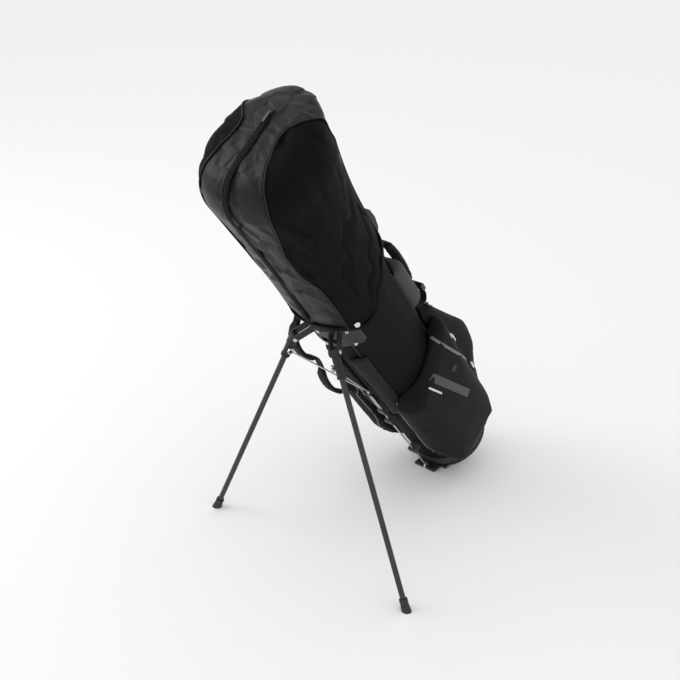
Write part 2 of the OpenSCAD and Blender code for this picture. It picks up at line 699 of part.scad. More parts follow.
// Webbing from the tube to the pads, from the pads through the buckles to the ball pocket,
// and the tab of the towel ring
web_t = 2.2;
web_w = 20;
buckle_y = value_y + 26;
ring_r = 9;
ring_wire = 1.8;
ring_off = 4.7;
slope_y = tube_ry + 12;
slope_z = side_low + 462;
slope_a = atan2(ball_y - 26 - slope_y, slope_z - side_low - 340);
module at_ring() translate([62, slope_y, slope_z]) rotate([-90 + slope_a, 0, 0]) translate([0, 2, ring_off])
    children();
module strap_webbing() color([0.06, 0.06, 0.06]) on_bag() {
    difference() {
        at_strap(web_w) ribbon([[tube_ry - 20, strap_top + 40], [value_y + 10, strap_top + seat + web_t]], web_t);
        tube_body(seat, 0, body_h);
    }
    at_strap(web_w) ribbon([[value_y + 4, strap_top - strap_l - seat], [buckle_y - 9, buckle_z + 30],
        [buckle_y, buckle_z + 14], [buckle_y, buckle_z - 14], [buckle_y - 3, buckle_z - 34],
        [buckle_y - 12, buckle_z - 46], [slope_y + tan(slope_a) * (slope_z - buckle_z + 46) + 1, buckle_z - 46]],
        web_t);
    at_ring() difference() {
        union() {
            rotate([0, 90, 0]) cylinder(h = 5, r = ring_wire + 2.4, center = true);
            translate([-2.5, -4.2, seat - ring_off]) cube([5, 8.4, ring_off - seat]);
        }
        rotate([0, 90, 0]) cylinder(h = 6, r = ring_wire + 0.8, center = true);
    }
}

module strap_buckles() color([0.15, 0.15, 0.15]) on_bag() for (s = [-1, 1])
    translate([s * strap_x, buckle_y - web_t / 2, buckle_z]) difference() {
        cube([30, 10, 20], center = true);
        cube([web_w + 2 * seat, web_t + 2 * seat, 30], center = true);
        translate([0, 5, 0]) cube([22, 6, 8], center = true);
    }

module towel_ring() color([0.5, 0.5, 0.5]) on_bag() at_ring() translate([0, ring_r, 0])
    rotate_extrude() translate([ring_r, 0]) circle(r = ring_wire, $fn = 20);

// Padded strap that hangs in a bow in front of the belly on the far side, from the tube to
// the far side pocket
belly_w = 24;
belly_pad = 10;
belly_top = [[-belly_y + 40, pivot_z - 27], [-belly_y + 13, pivot_z - 47], [-belly_y, pivot_z - 84],
    [-belly_y + 2, pivot_z - 122], [-belly_y + 16, pivot_z - 158]];
belly_low = [[-belly_y + 10, pivot_z - 202], [-belly_y, pivot_z - 236], [-belly_y, pivot_z - 288],
    [-belly_y + 14, pivot_z - 326]];
module belly_strap() color([0.08, 0.08, 0.08]) on_bag() difference() {
    translate([-belly_x - belly_w / 2, 0, 0]) rotate([90, 0, 90]) linear_extrude(belly_w) {
        ribbon(concat([[-20, pivot_z + 1], [-belly_y + 70, pivot_z - 8]], belly_top, belly_low,
            [[-side_face - web_t - 1, pivot_z - 338], [-side_face + 6, pivot_z - 340]]), web_t);
        ribbon(belly_top, belly_pad);
        ribbon(belly_low, belly_pad * 0.8);
    }
    tube_body(seat, 0, body_h);
    mirror([1, 0, 0]) linear_extrude(side_top) offset(delta = seat) side_plan(side_x);
}

// Foam pad on the belly, split down its middle for the push rod
hip_t = 11;
hip_x = 60;
hip_low = 350;
hip_h = 280;
hip_slot = 34;
module hip_pad() color([0.12, 0.12, 0.13]) on_bag() difference() {
    intersection() {
        tube_body(hip_t, hip_low - 10, hip_low + hip_h + 10);
        translate([-hip_x, -2 * tube_ry, hip_low]) cube([2 * hip_x, 2 * tube_ry - hip_x, hip_h]);
    }
    tube_body(seat, hip_low - 50, hip_low + hip_h + 30);
    translate([-hip_slot / 2, -2 * tube_ry, 0]) cube([hip_slot, 2 * tube_ry, body_h]);
}

// ---------------------------------------------------------------- hood

// Height and shape of the hood's rings: from the hem to the shoulder, then over the dome
hood_steps = [0, 0.08, 0.2, 0.35, 0.55, 0.78, 1];
dome_steps = [14, 28, 42, 55, 66, 75, 82, 87];
dome_k = 0.284;
peak_level = 44;
peak_rise = 18;
peak_turn = 38;
function mix(a, b, t) = a + (b - a) * t;

// Smooth curve through a at the hem, b half way and c at the shoulder
function through(a, b, c, t) = a * (1 - t) * (1 - 2 * t) + b * 4 * t * (1 - t) + c * t * (2 * t - 1);

// Half width, front and back of the hood's wall
function hood_size(t) = [through(hem_rx, waist_x, hood_x, t),
    through(hem_ry, waist_front, shoulder_front, t), through(hem_ry, waist_back, shoulder_back, t)];
function pushed(a, level) = peak * exp(-pow((a - 90) / peak_turn, 2) - pow((level - peak_level) / peak_rise, 2));
function hood_ring(t, g) = let (s = hood_size(t), q = oval(s[0] + g, (s[1] + s[2]) / 2 + g, hood_p))
    [for (i = [0:oval_n - 1]) let (a = 360 * i / oval_n)
        [q[i][0], q[i][1] + (s[2] - s[1]) / 2 + pushed(a, -180 * (1 - t)), mix(hem_z(a), shoulder_z, t)]];
function dome_ring(b, g) = let (k = pow(cos(b), dome_k),
        q = oval((hood_x + g) * k, ((shoulder_back + shoulder_front) / 2 + g) * k, hood_p),
        cy = mix((shoulder_back - shoulder_front) / 2, dome_y, 1 - cos(b)))
    [for (i = [0:oval_n - 1]) [q[i][0], q[i][1] + cy + pushed(360 * i / oval_n, b),
        shoulder_z + (dome_h + g) * sin(b)]];

module rain_hood() color([0.1, 0.1, 0.11]) on_bag() loft(concat(
    [for (i = [len(dome_steps) - 1:-1:0]) dome_ring(dome_steps[i], -hood_t)],
    [for (i = [len(hood_steps) - 1:-1:0]) hood_ring(hood_steps[i], -hood_t)],
    [for (t = hood_steps) hood_ring(t, 0)],
    [for (b = dome_steps) dome_ring(b, 0)]));

// The zip's tape runs up the front middle and over the dome; a section spans its width
zip_w = 9;
zip_t = 1.3;
function zip_row(rx, ry, cy, z0, z1, p, side) = let (f = function(g, x)
        cy + side * (ry + g) * pow(1 - pow(abs(x) / (rx + g), p), 1 / p))
    [for (x = [-zip_w, 0, zip_w]) [side * -x, f(seat + zip_t, x), z1],
    for (x = [zip_w, 0, -zip_w]) [side * -x, f(seat, x), z0]];
function zip_wall(t) = let (s = hood_size(t), z = mix(hem_z(270), shoulder_z, t))
    zip_row(s[0], (s[1] + s[2]) / 2, (s[2] - s[1]) / 2, z, z, hood_p, -1);
function zip_dome(b, side) = let (k = pow(cos(b), dome_k), z = shoulder_z + dome_h * sin(b))
    zip_row(hood_x * k, (shoulder_back + shoulder_front) / 2 * k,
        mix((shoulder_back - shoulder_front) / 2, dome_y, 1 - cos(b)),
        z + seat * sin(b), z + (seat + zip_t) * sin(b), hood_p, side);
cap_b = dome_steps[len(dome_steps) - 1];
module hood_zip() color([0.05, 0.05, 0.05]) on_bag() loft(concat(
    [for (t = hood_steps) if (t > 0) zip_wall(t)], [for (b = dome_steps) zip_dome(b, -1)],
    [[for (q = zip_dome(cap_b, 1)) [-q[0], q[1], q[2]]]]));

// The slider lies on the flat top of the dome, near the zip's rear end
slider_y = 88;
module hood_zip_slider() color([0.75, 0.75, 0.75]) on_bag()
    translate([0, slider_y, shoulder_z + dome_h * sin(cap_b) + zip_t + seat])
        rotate([-90, 0, 0]) rotate([0, 0, -90]) zip_slider();

// Snap caps on the hood's two tongues and the studs under them on the cuff
snap_i = round(oval_n * 322 / 360);
snap_r = 7;
function hood_skin(i) = (hood_ring(0, 0)[i] + hood_ring(hood_steps[1], 0)[i]) / 2;
function hood_normal(i) = cross(hood_skin(i + 1) - hood_skin(i - 1),
    hood_ring(hood_steps[1], 0)[i] - hood_ring(0, 0)[i]);
socket_l = 2.5;
stud_l = 16;
module at_snaps(in) for (m = [0, 1]) mirror([m, 0, 0]) translate(hood_skin(snap_i))
    facing(hood_normal(snap_i)) translate([0, 0, -in]) children();
module hood_snaps() color([0.85, 0.85, 0.86]) on_bag() {
    at_snaps(-2 * seat) cylinder(h = 2.2, r1 = snap_r, r2 = snap_r - 1.5);
    at_snaps(hood_t + 2 * seat + socket_l) cylinder(h = socket_l, r = snap_r - 2);
}
module snap_studs() color([0.8, 0.8, 0.8]) on_bag() difference() {
    at_snaps(hood_t + 3 * seat + socket_l + stud_l) cylinder(h = stud_l, r = snap_r - 2);
    tube_body(cuff_t + seat, 0, body_h + 130);
}

// ---------------------------------------------------------------- clubs

// A club stands on the floor of the bag, or hangs by its head on the dividers if it is too short
head_room = 62;
function club(name) = [for (c = clubs) if (c[0] == name) c][0];
function club_z(name) = let (c = club(name))
    max(floor_z + seat, mouth_z(c[1][1] + 12, 4) + head_room - c[2]);
module at_club(name) on_bag() translate([club(name)[1][0], club(name)[1][1], club_z(name)]) children();

// Steel or graphite shaft, a tube that tapers to the hosel, and its ridged grip
shaft_t = 1.2;
module shaft(name, tone) color(tone) at_club(name) translate([0, 0, 6]) difference() {
    h = club(name)[2] - 40 - 6;
    cylinder(h = h, r1 = butt_shaft_r, r2 = tip_shaft_r);
    cylinder(h = h, r1 = butt_shaft_r - shaft_t, r2 = tip_shaft_r - shaft_t);
}
module grip(name) color([0.08, 0.08, 0.08]) at_club(name) difference() {
    union() {
        cylinder(h = 5, r1 = butt_r - 1.5, r2 = butt_r);
        translate([0, 0, 5]) cylinder(h = grip_len - 5, r1 = butt_r, r2 = grip_tip_r);
    }
    slope = (tip_shaft_r - butt_shaft_r) / (club(name)[2] - 46);
    translate([0, 0, 6]) cylinder(h = grip_len, r1 = butt_shaft_r + run,
        r2 = butt_shaft_r + run + slope * grip_len);
    for (z = [30:34:grip_len - 30], a = [0:90:270]) translate([0, 0, z]) rotate([0, 0, a])
        translate([butt_r + 0.4 - (butt_r - grip_tip_r) * z / grip_len, 0, 0]) cylinder(h = 10, r = 0.9, $fn = 14);
}

// Hosel over the shaft's tip, with z measured up from the butt
module hosel(name, h) {
    slope = (tip_shaft_r - butt_shaft_r) / (club(name)[2] - 46);
    difference() {
        children();
        translate([0, 0, club(name)[2] - 40 - h]) cylinder(h = h + seat,
            r1 = tip_shaft_r - slope * h + run, r2 = tip_shaft_r + run);
    }
}

// Hollow-looking wood head: w heel to toe, d front to back, h crown to sole, at the top
module wood_form(name, w, d, h, turn, tone) color(tone) at_club(name) {
    top = club(name)[2];
    hosel(name, 26) rotate([0, 0, turn]) union() {
        translate([0, 0, top - 40 - 20]) cylinder(h = 30, r = tip_shaft_r + 2.6);
        intersection() {
            hull() {
                translate([w * 0.36, d * 0.08, top - h * 0.42]) sphere(r = h * 0.42, $fn = 28);
                translate([w * 0.62, d * 0.22, top - h * 0.42]) sphere(r = h * 0.42, $fn = 28);
                translate([w * 0.4, d * 0.55, top - h * 0.5]) sphere(r = h * 0.34, $fn = 28);
                translate([0, 4, top - h * 0.62]) sphere(r = h * 0.26, $fn = 24);
            }
            translate([-200, -h * 0.24, top - 400]) cube([400, 400, 400]);
        }
    }
}

// Iron head: a blade cut from a toe outline, with a cavity behind and grooves on its face
module iron_form(name, w, h, t, turn, tone) color(tone) at_club(name) {
    top = club(name)[2];
    hosel(name, h - 24) rotate([0, 0, turn]) difference() {
        union() {
            translate([0, 0, top - h - 14]) cylinder(h = 30, r = tip_shaft_r + 2);
            translate([0, t / 2, 0]) rotate([90, 0, 0]) linear_extrude(t)
                polygon([[-6, top - h + 14], [4, top - h + 6], [w * 0.55, top - h + 12],
                    [w, top - h + 2], [w + 9, top - h + 12], [w + 10, top - h * 0.35],
                    [w - 2, top - 6], [w * 0.5, top], [4, top - 5], [-6, top - 16]]);
        }
        translate([14, t / 2 - t * 0.35, top - h + 20]) cube([w - 18, t, h - 34]);
        for (z = [top - h + 22:5:top - 12]) translate([14, -t / 2 - 0.1, z]) cube([w - 16, 0.7, 0.9]);
    }
}

module putter_form() color([0.55, 0.55, 0.57]) at_club("putter") {
    top = club("putter")[2];
    hosel("putter", 24) rotate([0, 0, 180]) difference() {
        union() {
            translate([0, 0, top - 62]) cylinder(h = 40, r = tip_shaft_r + 2);
            translate([-12, -12, top - 26]) cube([78, 14, 26]);
            translate([-2, -2, top - 8]) cube([58, 22, 8]);
        }
        translate([10, 6, top - 20]) cube([34, 20, 10]);
    }
}

module driver_head() wood_form("driver", 112, 108, 58, -58, [0.08, 0.08, 0.09]);
module driver_shaft() shaft("driver", [0.12, 0.12, 0.13]);
module driver_grip() grip("driver");
module wood_head() wood_form("wood", 96, 84, 46, -110, [0.1, 0.1, 0.11]);
module wood_shaft() shaft("wood", [0.12, 0.12, 0.13]);
module wood_grip() grip("wood");
module hybrid_head() wood_form("hybrid", 84, 54, 38, -35, [0.1, 0.1, 0.11]);
module hybrid_shaft() shaft("hybrid", [0.12, 0.12, 0.13]);
module hybrid_grip() grip("hybrid");
module iron_head() iron_form("iron", 62, 62, 15, 200, [0.7, 0.7, 0.72]);
module iron_shaft() shaft("iron", [0.75, 0.75, 0.77]);
module iron_grip() grip("iron");
module wedge_head() iron_form("wedge", 60, 66, 16, 60, [0.7, 0.7, 0.72]);
module wedge_shaft() shaft("wedge", [0.75, 0.75, 0.77]);
module wedge_grip() grip("wedge");
module putter_head() putter_form();
module putter_shaft() shaft("putter", [0.75, 0.75, 0.77]);
module putter_grip() grip("putter");

// ---------------------------------------------------------------- nodes

bag_tube();
top_cuff();
cuff_dividers();
stay_rods();
base_cup();
base_sole();
base_rocker();
rocker_pin();
leg_bracket();
bracket_screws();
hinge_pins();
right_leg_knuckle();
right_leg_tube();
right_leg_boot();
left_leg_knuckle();
left_leg_tube();
left_leg_boot();
push_rod();
rod_clip();
wire_yoke();
right_wire_arm();
left_wire_arm();
rod_guides();
right_side_pocket();
left_side_pocket();
ball_pocket();
valuables_pocket();
right_zip_slider();
left_zip_slider();
ball_zip_slider();
spine_handle();
shoulder_straps();
strap_webbing();
strap_buckles();
towel_ring();
hip_pad();
belly_strap();
rain_hood();
hood_zip();
hood_zip_slider();
hood_snaps();
snap_studs();
driver_head();
driver_shaft();
driver_grip();
wood_head();
wood_shaft();
wood_grip();
hybrid_head();
hybrid_shaft();
hybrid_grip();
iron_head();
iron_shaft();
iron_grip();
wedge_head();
wedge_shaft();
wedge_grip();
putter_head();
putter_shaft();
putter_grip();
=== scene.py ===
"""Looks of a golf stand bag under its rain hood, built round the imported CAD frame.

The soft pieces are surfaces worked out with numpy in the bag's own frame (x across, y towards
the spine, z along the bag) and then leaned onto the heel. Padded pieces start from a copy of
their CAD solid. Every finish is procedural. All lengths are in metres.
"""

from __future__ import annotations

import json
import logging
import math
from dataclasses import dataclass, field
from enum import Enum

import bmesh
import bpy
import numpy as np
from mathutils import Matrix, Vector
from mathutils.bvhtree import BVHTree


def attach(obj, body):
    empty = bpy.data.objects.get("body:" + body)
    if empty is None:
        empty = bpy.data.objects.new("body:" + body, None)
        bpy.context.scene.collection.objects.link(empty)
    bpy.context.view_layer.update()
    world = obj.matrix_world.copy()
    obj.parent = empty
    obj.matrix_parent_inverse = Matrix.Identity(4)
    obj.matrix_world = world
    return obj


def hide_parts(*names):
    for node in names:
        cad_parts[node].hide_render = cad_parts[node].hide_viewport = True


Thing = bpy.types.Object
Socket = bpy.types.NodeSocket
Array = np.ndarray
Triple = tuple[float, float, float]

log = logging.getLogger("stand_bag")
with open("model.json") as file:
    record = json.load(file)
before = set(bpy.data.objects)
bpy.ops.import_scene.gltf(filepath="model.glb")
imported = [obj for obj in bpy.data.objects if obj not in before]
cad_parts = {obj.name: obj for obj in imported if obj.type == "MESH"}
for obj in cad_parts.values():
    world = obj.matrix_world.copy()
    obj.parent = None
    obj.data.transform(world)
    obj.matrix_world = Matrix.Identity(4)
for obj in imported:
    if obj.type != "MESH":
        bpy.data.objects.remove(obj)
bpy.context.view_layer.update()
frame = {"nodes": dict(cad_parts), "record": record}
PICTURE = 680
TAU = 2 * math.pi


class Axis(Enum):
    """The axis across which bands run."""

    X = "X"
    Y = "Y"
    Z = "Z"
    DIAGONAL = "DIAGONAL"


class Cell(Enum):
    """What is measured in a pattern of scattered cells."""

    CENTRE = "F1"
    BORDER = "DISTANCE_TO_EDGE"


# ------------------------------------------------------------------ shader arithmetic


class Term:
    """A shader number: an expression on terms adds the Math nodes that work it out."""

    def __init__(self, bench: "Bench", socket: Socket) -> None:
        self.bench = bench
        self.socket = socket

    def _maths(self, operation: str, first: object, second: object) -> "Term":
        """Adds one Math node and gives its result."""
        node = self.bench.node("ShaderNodeMath", {"operation": operation}, {0: first, 1: second})
        return Term(self.bench, node.outputs[0])

    def __add__(self, other: object) -> "Term":
        return self._maths("ADD", self, other)

    __radd__ = __add__

    def __mul__(self, other: object) -> "Term":
        return self._maths("MULTIPLY", self, other)


def add_node(tree: bpy.types.NodeTree, kind: str, settings: dict, inputs: dict) -> bpy.types.Node:
    """Adds a node of any type.

    Args:
        tree: the tree that it joins.
        kind: the node's Blender type.
        settings: its properties, set first; "stops" holds a colour ramp's two stops.
        inputs: for each input socket, a term, a socket to link, or a constant.

    Returns:
        The new node.
    """
    node = tree.nodes.new(kind)
    for name, value in settings.items():
        if name == "stops":
            for stop, (place, colour) in zip(node.color_ramp.elements, value):
                stop.position = place
                stop.color = (*colour, 1.0)
        else:
            setattr(node, name, value)
    for name, value in inputs.items():
        if isinstance(value, (Term, Socket)):
            tree.links.new(getattr(value, "socket", value), node.inputs[name])
        else:
            node.inputs[name].default_value = value
    return node


class Bench:
    """One material's node tree, with the calls that fill it."""

    def __init__(self, name: str) -> None:
        self.material = bpy.data.materials.new(name)
        self.material.use_nodes = True
        self.tree = self.material.node_tree
        self.tree.nodes.clear()
        self.shader = self.node("ShaderNodeBsdfPrincipled", {}, {})
        self.node("ShaderNodeOutputMaterial", {}, {"Surface": self.shader.outputs[0]})

    def node(self, kind: str, settings: dict, inputs: dict) -> bpy.types.Node:
        """Adds a node of any type to the material."""
        return add_node(self.tree, kind, settings, inputs)

    def where(self, stretch: Triple = (1, 1, 1)) -> Socket:
        """Object coordinates, scaled by stretch."""
        place = self.node("ShaderNodeTexCoord", {}, {}).outputs["Object"]
        return self.node("ShaderNodeMapping", {}, {"Vector": place, "Scale": stretch}).outputs[0]

    def across(self) -> Socket:
        """The piece's own UV map, in metres over its surface."""
        return self.node("ShaderNodeUVMap", {"uv_map": "cloth"}, {}).outputs[0]

    def noise(self, place: Socket, scale: float, detail: float) -> Term:
        """Cloudy noise about 0.5."""
        node = self.node(
            "ShaderNodeTexNoise", {}, {"Vector": place, "Scale": scale, "Detail": detail}
        )
        return Term(self, node.outputs["Fac"])

    def bands(self, place: Socket, axis: Axis, scale: float) -> Term:
        """Sine bands across one axis."""
        node = self.node(
            "ShaderNodeTexWave",
            {"wave_type": "BANDS", "bands_direction": axis.value},
            {"Vector": place, "Scale": scale},
        )
        return Term(self, node.outputs["Fac"])

    def cells(self, place: Socket, scale: float, to: Cell = Cell.CENTRE) -> Term:
        """Distance to a cell's centre or border."""
        node = self.node(
            "ShaderNodeTexVoronoi", {"feature": to.value}, {"Vector": place, "Scale": scale}
        )
        return Term(self, node.outputs["Distance"])

    def tint(self, share: Term, colour: tuple, low: float, high: float) -> None:
        """Base colour that runs from low to high times a colour with the share."""
        stops = [(0.25, shade(colour, low)), (0.75, shade(colour, high))]
        node = self.node("ShaderNodeValToRGB", {"stops": stops}, {"Fac": share})
        self.tree.links.new(node.outputs[0], self.shader.inputs["Base Color"])

    def rough(self, value: Term) -> None:
        """Links the roughness."""
        self.tree.links.new(value.socket, self.shader.inputs["Roughness"])

    def bump(self, height: Term, depth: float) -> None:
        """Bumps the normal by a height that is depth metres from low to high."""
        node = self.node(
            "ShaderNodeBump", {}, {"Height": height, "Distance": depth, "Strength": 1.0}
        )
        self.tree.links.new(node.outputs[0], self.shader.inputs["Normal"])

    def fix(self, **values: object) -> None:
        """Sets constants on the shader's own sockets, underscores standing for spaces."""
        for name, value in values.items():
            self.shader.inputs[name.replace("_", " ")].default_value = value


def shade(colour: Triple, by: float) -> Triple:
    """The colour made lighter or darker by a factor."""
    return tuple(min(1.0, c * by) for c in colour)


# ------------------------------------------------------------------ finishes


@dataclass(frozen=True)
class Finish:
    """A surface finish: its name, colour and roughness, and how its pattern is made."""

    name: str
    colour: Triple
    roughness: float

    def make(self) -> bpy.types.Material:
        """The finish as a material."""
        bench = Bench(self.name)
        bench.fix(Base_Color=(*self.colour, 1.0), Roughness=self.roughness)
        self.pattern(bench)
        return bench.material

    def pattern(self, bench: Bench) -> None:
        """Adds what the finish shows close up."""
        raise NotImplementedError


@dataclass(frozen=True)
class Nylon(Finish):
    """Woven nylon: crossed threads, soft mottling and fine creases."""

    pitch: float = 0.0016
    creases: float = 0.0008
    sheen: float = 0.03
    gloss: float = 0.1
    spread: float = 0.25
    mottle: float = 14.0
    folds: float = 70.0

    def pattern(self, bench: Bench) -> None:
        """Threads are the product of two sine bands; creases are stretched noise."""
        here = bench.where()
        fine = 0.5 / self.pitch
        threads = bench.bands(here, Axis.X, fine) * bench.bands(here, Axis.Z, fine)
        threads = threads + bench.bands(here, Axis.Y, fine) * 0.5
        cloud = bench.noise(here, self.mottle, 4.0)
        folds = bench.noise(bench.where((1.0, 1.0, 0.35)), self.folds, 5.0)
        bench.tint(cloud * 0.7 + threads * 0.2, self.colour, 1 - self.spread, 1 + self.spread)
        bench.rough(self.roughness - 0.08 + cloud * 0.16)
        bench.bump(threads * 0.12 + folds * 0.88, self.creases)
        bench.fix(Sheen_Weight=self.sheen, Sheen_Roughness=0.5, Specular_IOR_Level=self.gloss)


@dataclass(frozen=True)
class Coated(Finish):
    """Coated nylon of the hood's front: shiny, with small sharp crinkles."""

    crinkle: float = 0.0022
    spread: float = 0.3
    facets: float = 26.0
    wrinkles: float = 60.0
    mottle: float = 9.0
    fine: float = 320.0

    def pattern(self, bench: Bench) -> None:
        """Crinkles are the borders of scattered cells, broken up by noise."""
        here = bench.where()
        big = bench.cells(here, self.facets, Cell.BORDER)
        small = bench.noise(here, self.wrinkles, 6.0)
        cloud = bench.noise(here, self.mottle, 4.0)
        threads = bench.bands(here, Axis.X, self.fine) * bench.bands(here, Axis.Z, self.fine)
        bench.tint(cloud * 0.8 + threads * 0.1, self.colour, 1 - self.spread, 1 + self.spread)
        bench.rough(self.roughness - 0.1 + small * 0.2)
        bench.bump(big * 0.55 + small * 0.4 + threads * 0.03, self.crinkle)
        bench.fix(Specular_IOR_Level=0.22)


@dataclass(frozen=True)
class Moulded(Finish):
    """Moulded plastic: fine spark grain and a little scuffing."""

    grain: float = 0.00018
    gloss: float = 0.0
    sparks: float = 900.0
    scuffs: float = 90.0

    def pattern(self, bench: Bench) -> None:
        """Grain is fine cells; scuffs are stretched noise that lifts the roughness."""
        here = bench.where()
        grain = bench.cells(here, self.sparks)
        scuff = bench.noise(bench.where((1.0, 1.0, 0.2)), self.scuffs, 5.0)
        bench.tint(scuff, self.colour, 0.85, 1.2)
        bench.rough(self.roughness - 0.09 + scuff * 0.18)
        bench.bump(grain * 0.6 + scuff * 0.4, self.grain)
        bench.fix(Coat_Weight=self.gloss, Coat_Roughness=0.15, Specular_IOR_Level=0.3)


@dataclass(frozen=True)
class Rubber(Finish):
    """Rubber: matt, dusty, faintly pitted."""

    dust: float = 0.5
    blooms: float = 38.0
    pits: float = 420.0
    pit_depth: float = 0.00025

    def pattern(self, bench: Bench) -> None:
        """Dust is noise that lightens the dark rubber and roughens it."""
        here = bench.where()
        dust = bench.noise(here, self.blooms, 6.0)
        pits = bench.noise(here, self.pits, 2.0)
        bench.tint(dust, self.colour, 0.8, 1.0 + self.dust)
        bench.rough(self.roughness - 0.06 + dust * 0.12)
        bench.bump(pits, self.pit_depth)
        bench.fix(Specular_IOR_Level=0.2)


@dataclass(frozen=True)
class Metal(Finish):
    """Metal: fine drawn or brushed lines along one axis."""

    along: Triple = (1.0, 1.0, 0.05)
    metallic: float = 1.0
    lines: float = 0.00008
    strokes: float = 900.0
    mottle: float = 30.0

    def pattern(self, bench: Bench) -> None:
        """Brushing is noise stretched along the drawn direction."""
        brushed = bench.noise(bench.where(self.along), self.strokes, 3.0)
        cloud = bench.noise(bench.where(), self.mottle, 4.0)
        bench.tint(cloud, self.colour, 0.88, 1.1)
        bench.rough(self.roughness - 0.07 + brushed * 0.1 + cloud * 0.05)
        bench.bump(brushed, self.lines)
        bench.fix(Metallic=self.metallic)


@dataclass(frozen=True)
class Webbing(Finish):
    """Woven webbing: ribs across the strap and finer cords along it, on the strap's own map."""

    rib: float = 0.0022
    mottle: float = 40.0
    relief: float = 0.0006

    def pattern(self, bench: Bench) -> None:
        """Ribs are sine bands along the strap plus finer bands across it."""
        ribs = bench.bands(bench.across(), Axis.Y, 0.5 / self.rib)
        cords = bench.bands(bench.across(), Axis.X, 0.5 / (self.rib * 0.6))
        cloud = bench.noise(bench.where(), self.mottle, 4.0)
        bench.tint(ribs * 0.5 + cloud * 0.5, self.colour, 0.7, 1.4)
        bench.rough(self.roughness - 0.05 + cloud * 0.1)
        bench.bump(ribs * 0.6 + cords * 0.4, self.relief)
        bench.fix(Sheen_Weight=0.03, Specular_IOR_Level=0.15)


@dataclass(frozen=True)
class SpacerMesh(Finish):
    """Spacer mesh over foam: rows of small open cells."""

    cell: float = 0.0034
    mottle: float = 22.0
    relief: float = 0.0007

    def pattern(self, bench: Bench) -> None:
        """Holes are where the distance to a cell's centre is small."""
        here = bench.where()
        holes = bench.cells(here, 1.0 / self.cell)
        cloud = bench.noise(here, self.mottle, 4.0)
        bench.tint(holes * 0.7 + cloud * 0.3, self.colour, 0.5, 1.4)
        bench.rough(self.roughness - 0.05 + cloud * 0.1)
        bench.bump(holes, self.relief)
        bench.fix(Sheen_Weight=0.04, Specular_IOR_Level=0.1)


@dataclass(frozen=True)
class Fleece(Finish):
    """Fleece over foam: short matted nap."""

    tufts: float = 260.0
    mottle: float = 18.0
    relief: float = 0.0012

    def pattern(self, bench: Bench) -> None:
        """The nap is two scales of noise."""
        here = bench.where()
        nap = bench.noise(here, self.tufts, 6.0)
        cloud = bench.noise(here, self.mottle, 3.0)
        bench.tint(nap * 0.6 + cloud * 0.4, self.colour, 0.7, 1.35)
        bench.rough(self.roughness - 0.04 + nap * 0.08)
        bench.bump(nap, self.relief)
        bench.fix(Sheen_Weight=0.15, Sheen_Roughness=0.6, Specular_IOR_Level=0.1)


@dataclass(frozen=True)
class Lacquer(Finish):
    """Lacquered composite: deep gloss over a faint weave."""

    weave: float = 0.004
    mottle: float = 25.0
    relief: float = 0.00008

    def pattern(self, bench: Bench) -> None:
        """Twill shows as diagonal bands under a clear coat."""
        here = bench.where()
        twill = bench.bands(here, Axis.DIAGONAL, 0.5 / self.weave) * 0.6
        cloud = bench.noise(here, self.mottle, 3.0)
        bench.tint(twill + cloud * 0.4, self.colour, 0.7, 1.6)
        bench.rough(self.roughness - 0.03 + cloud * 0.06)
        bench.bump(cloud, self.relief)
        bench.fix(Coat_Weight=0.8, Coat_Roughness=0.06)


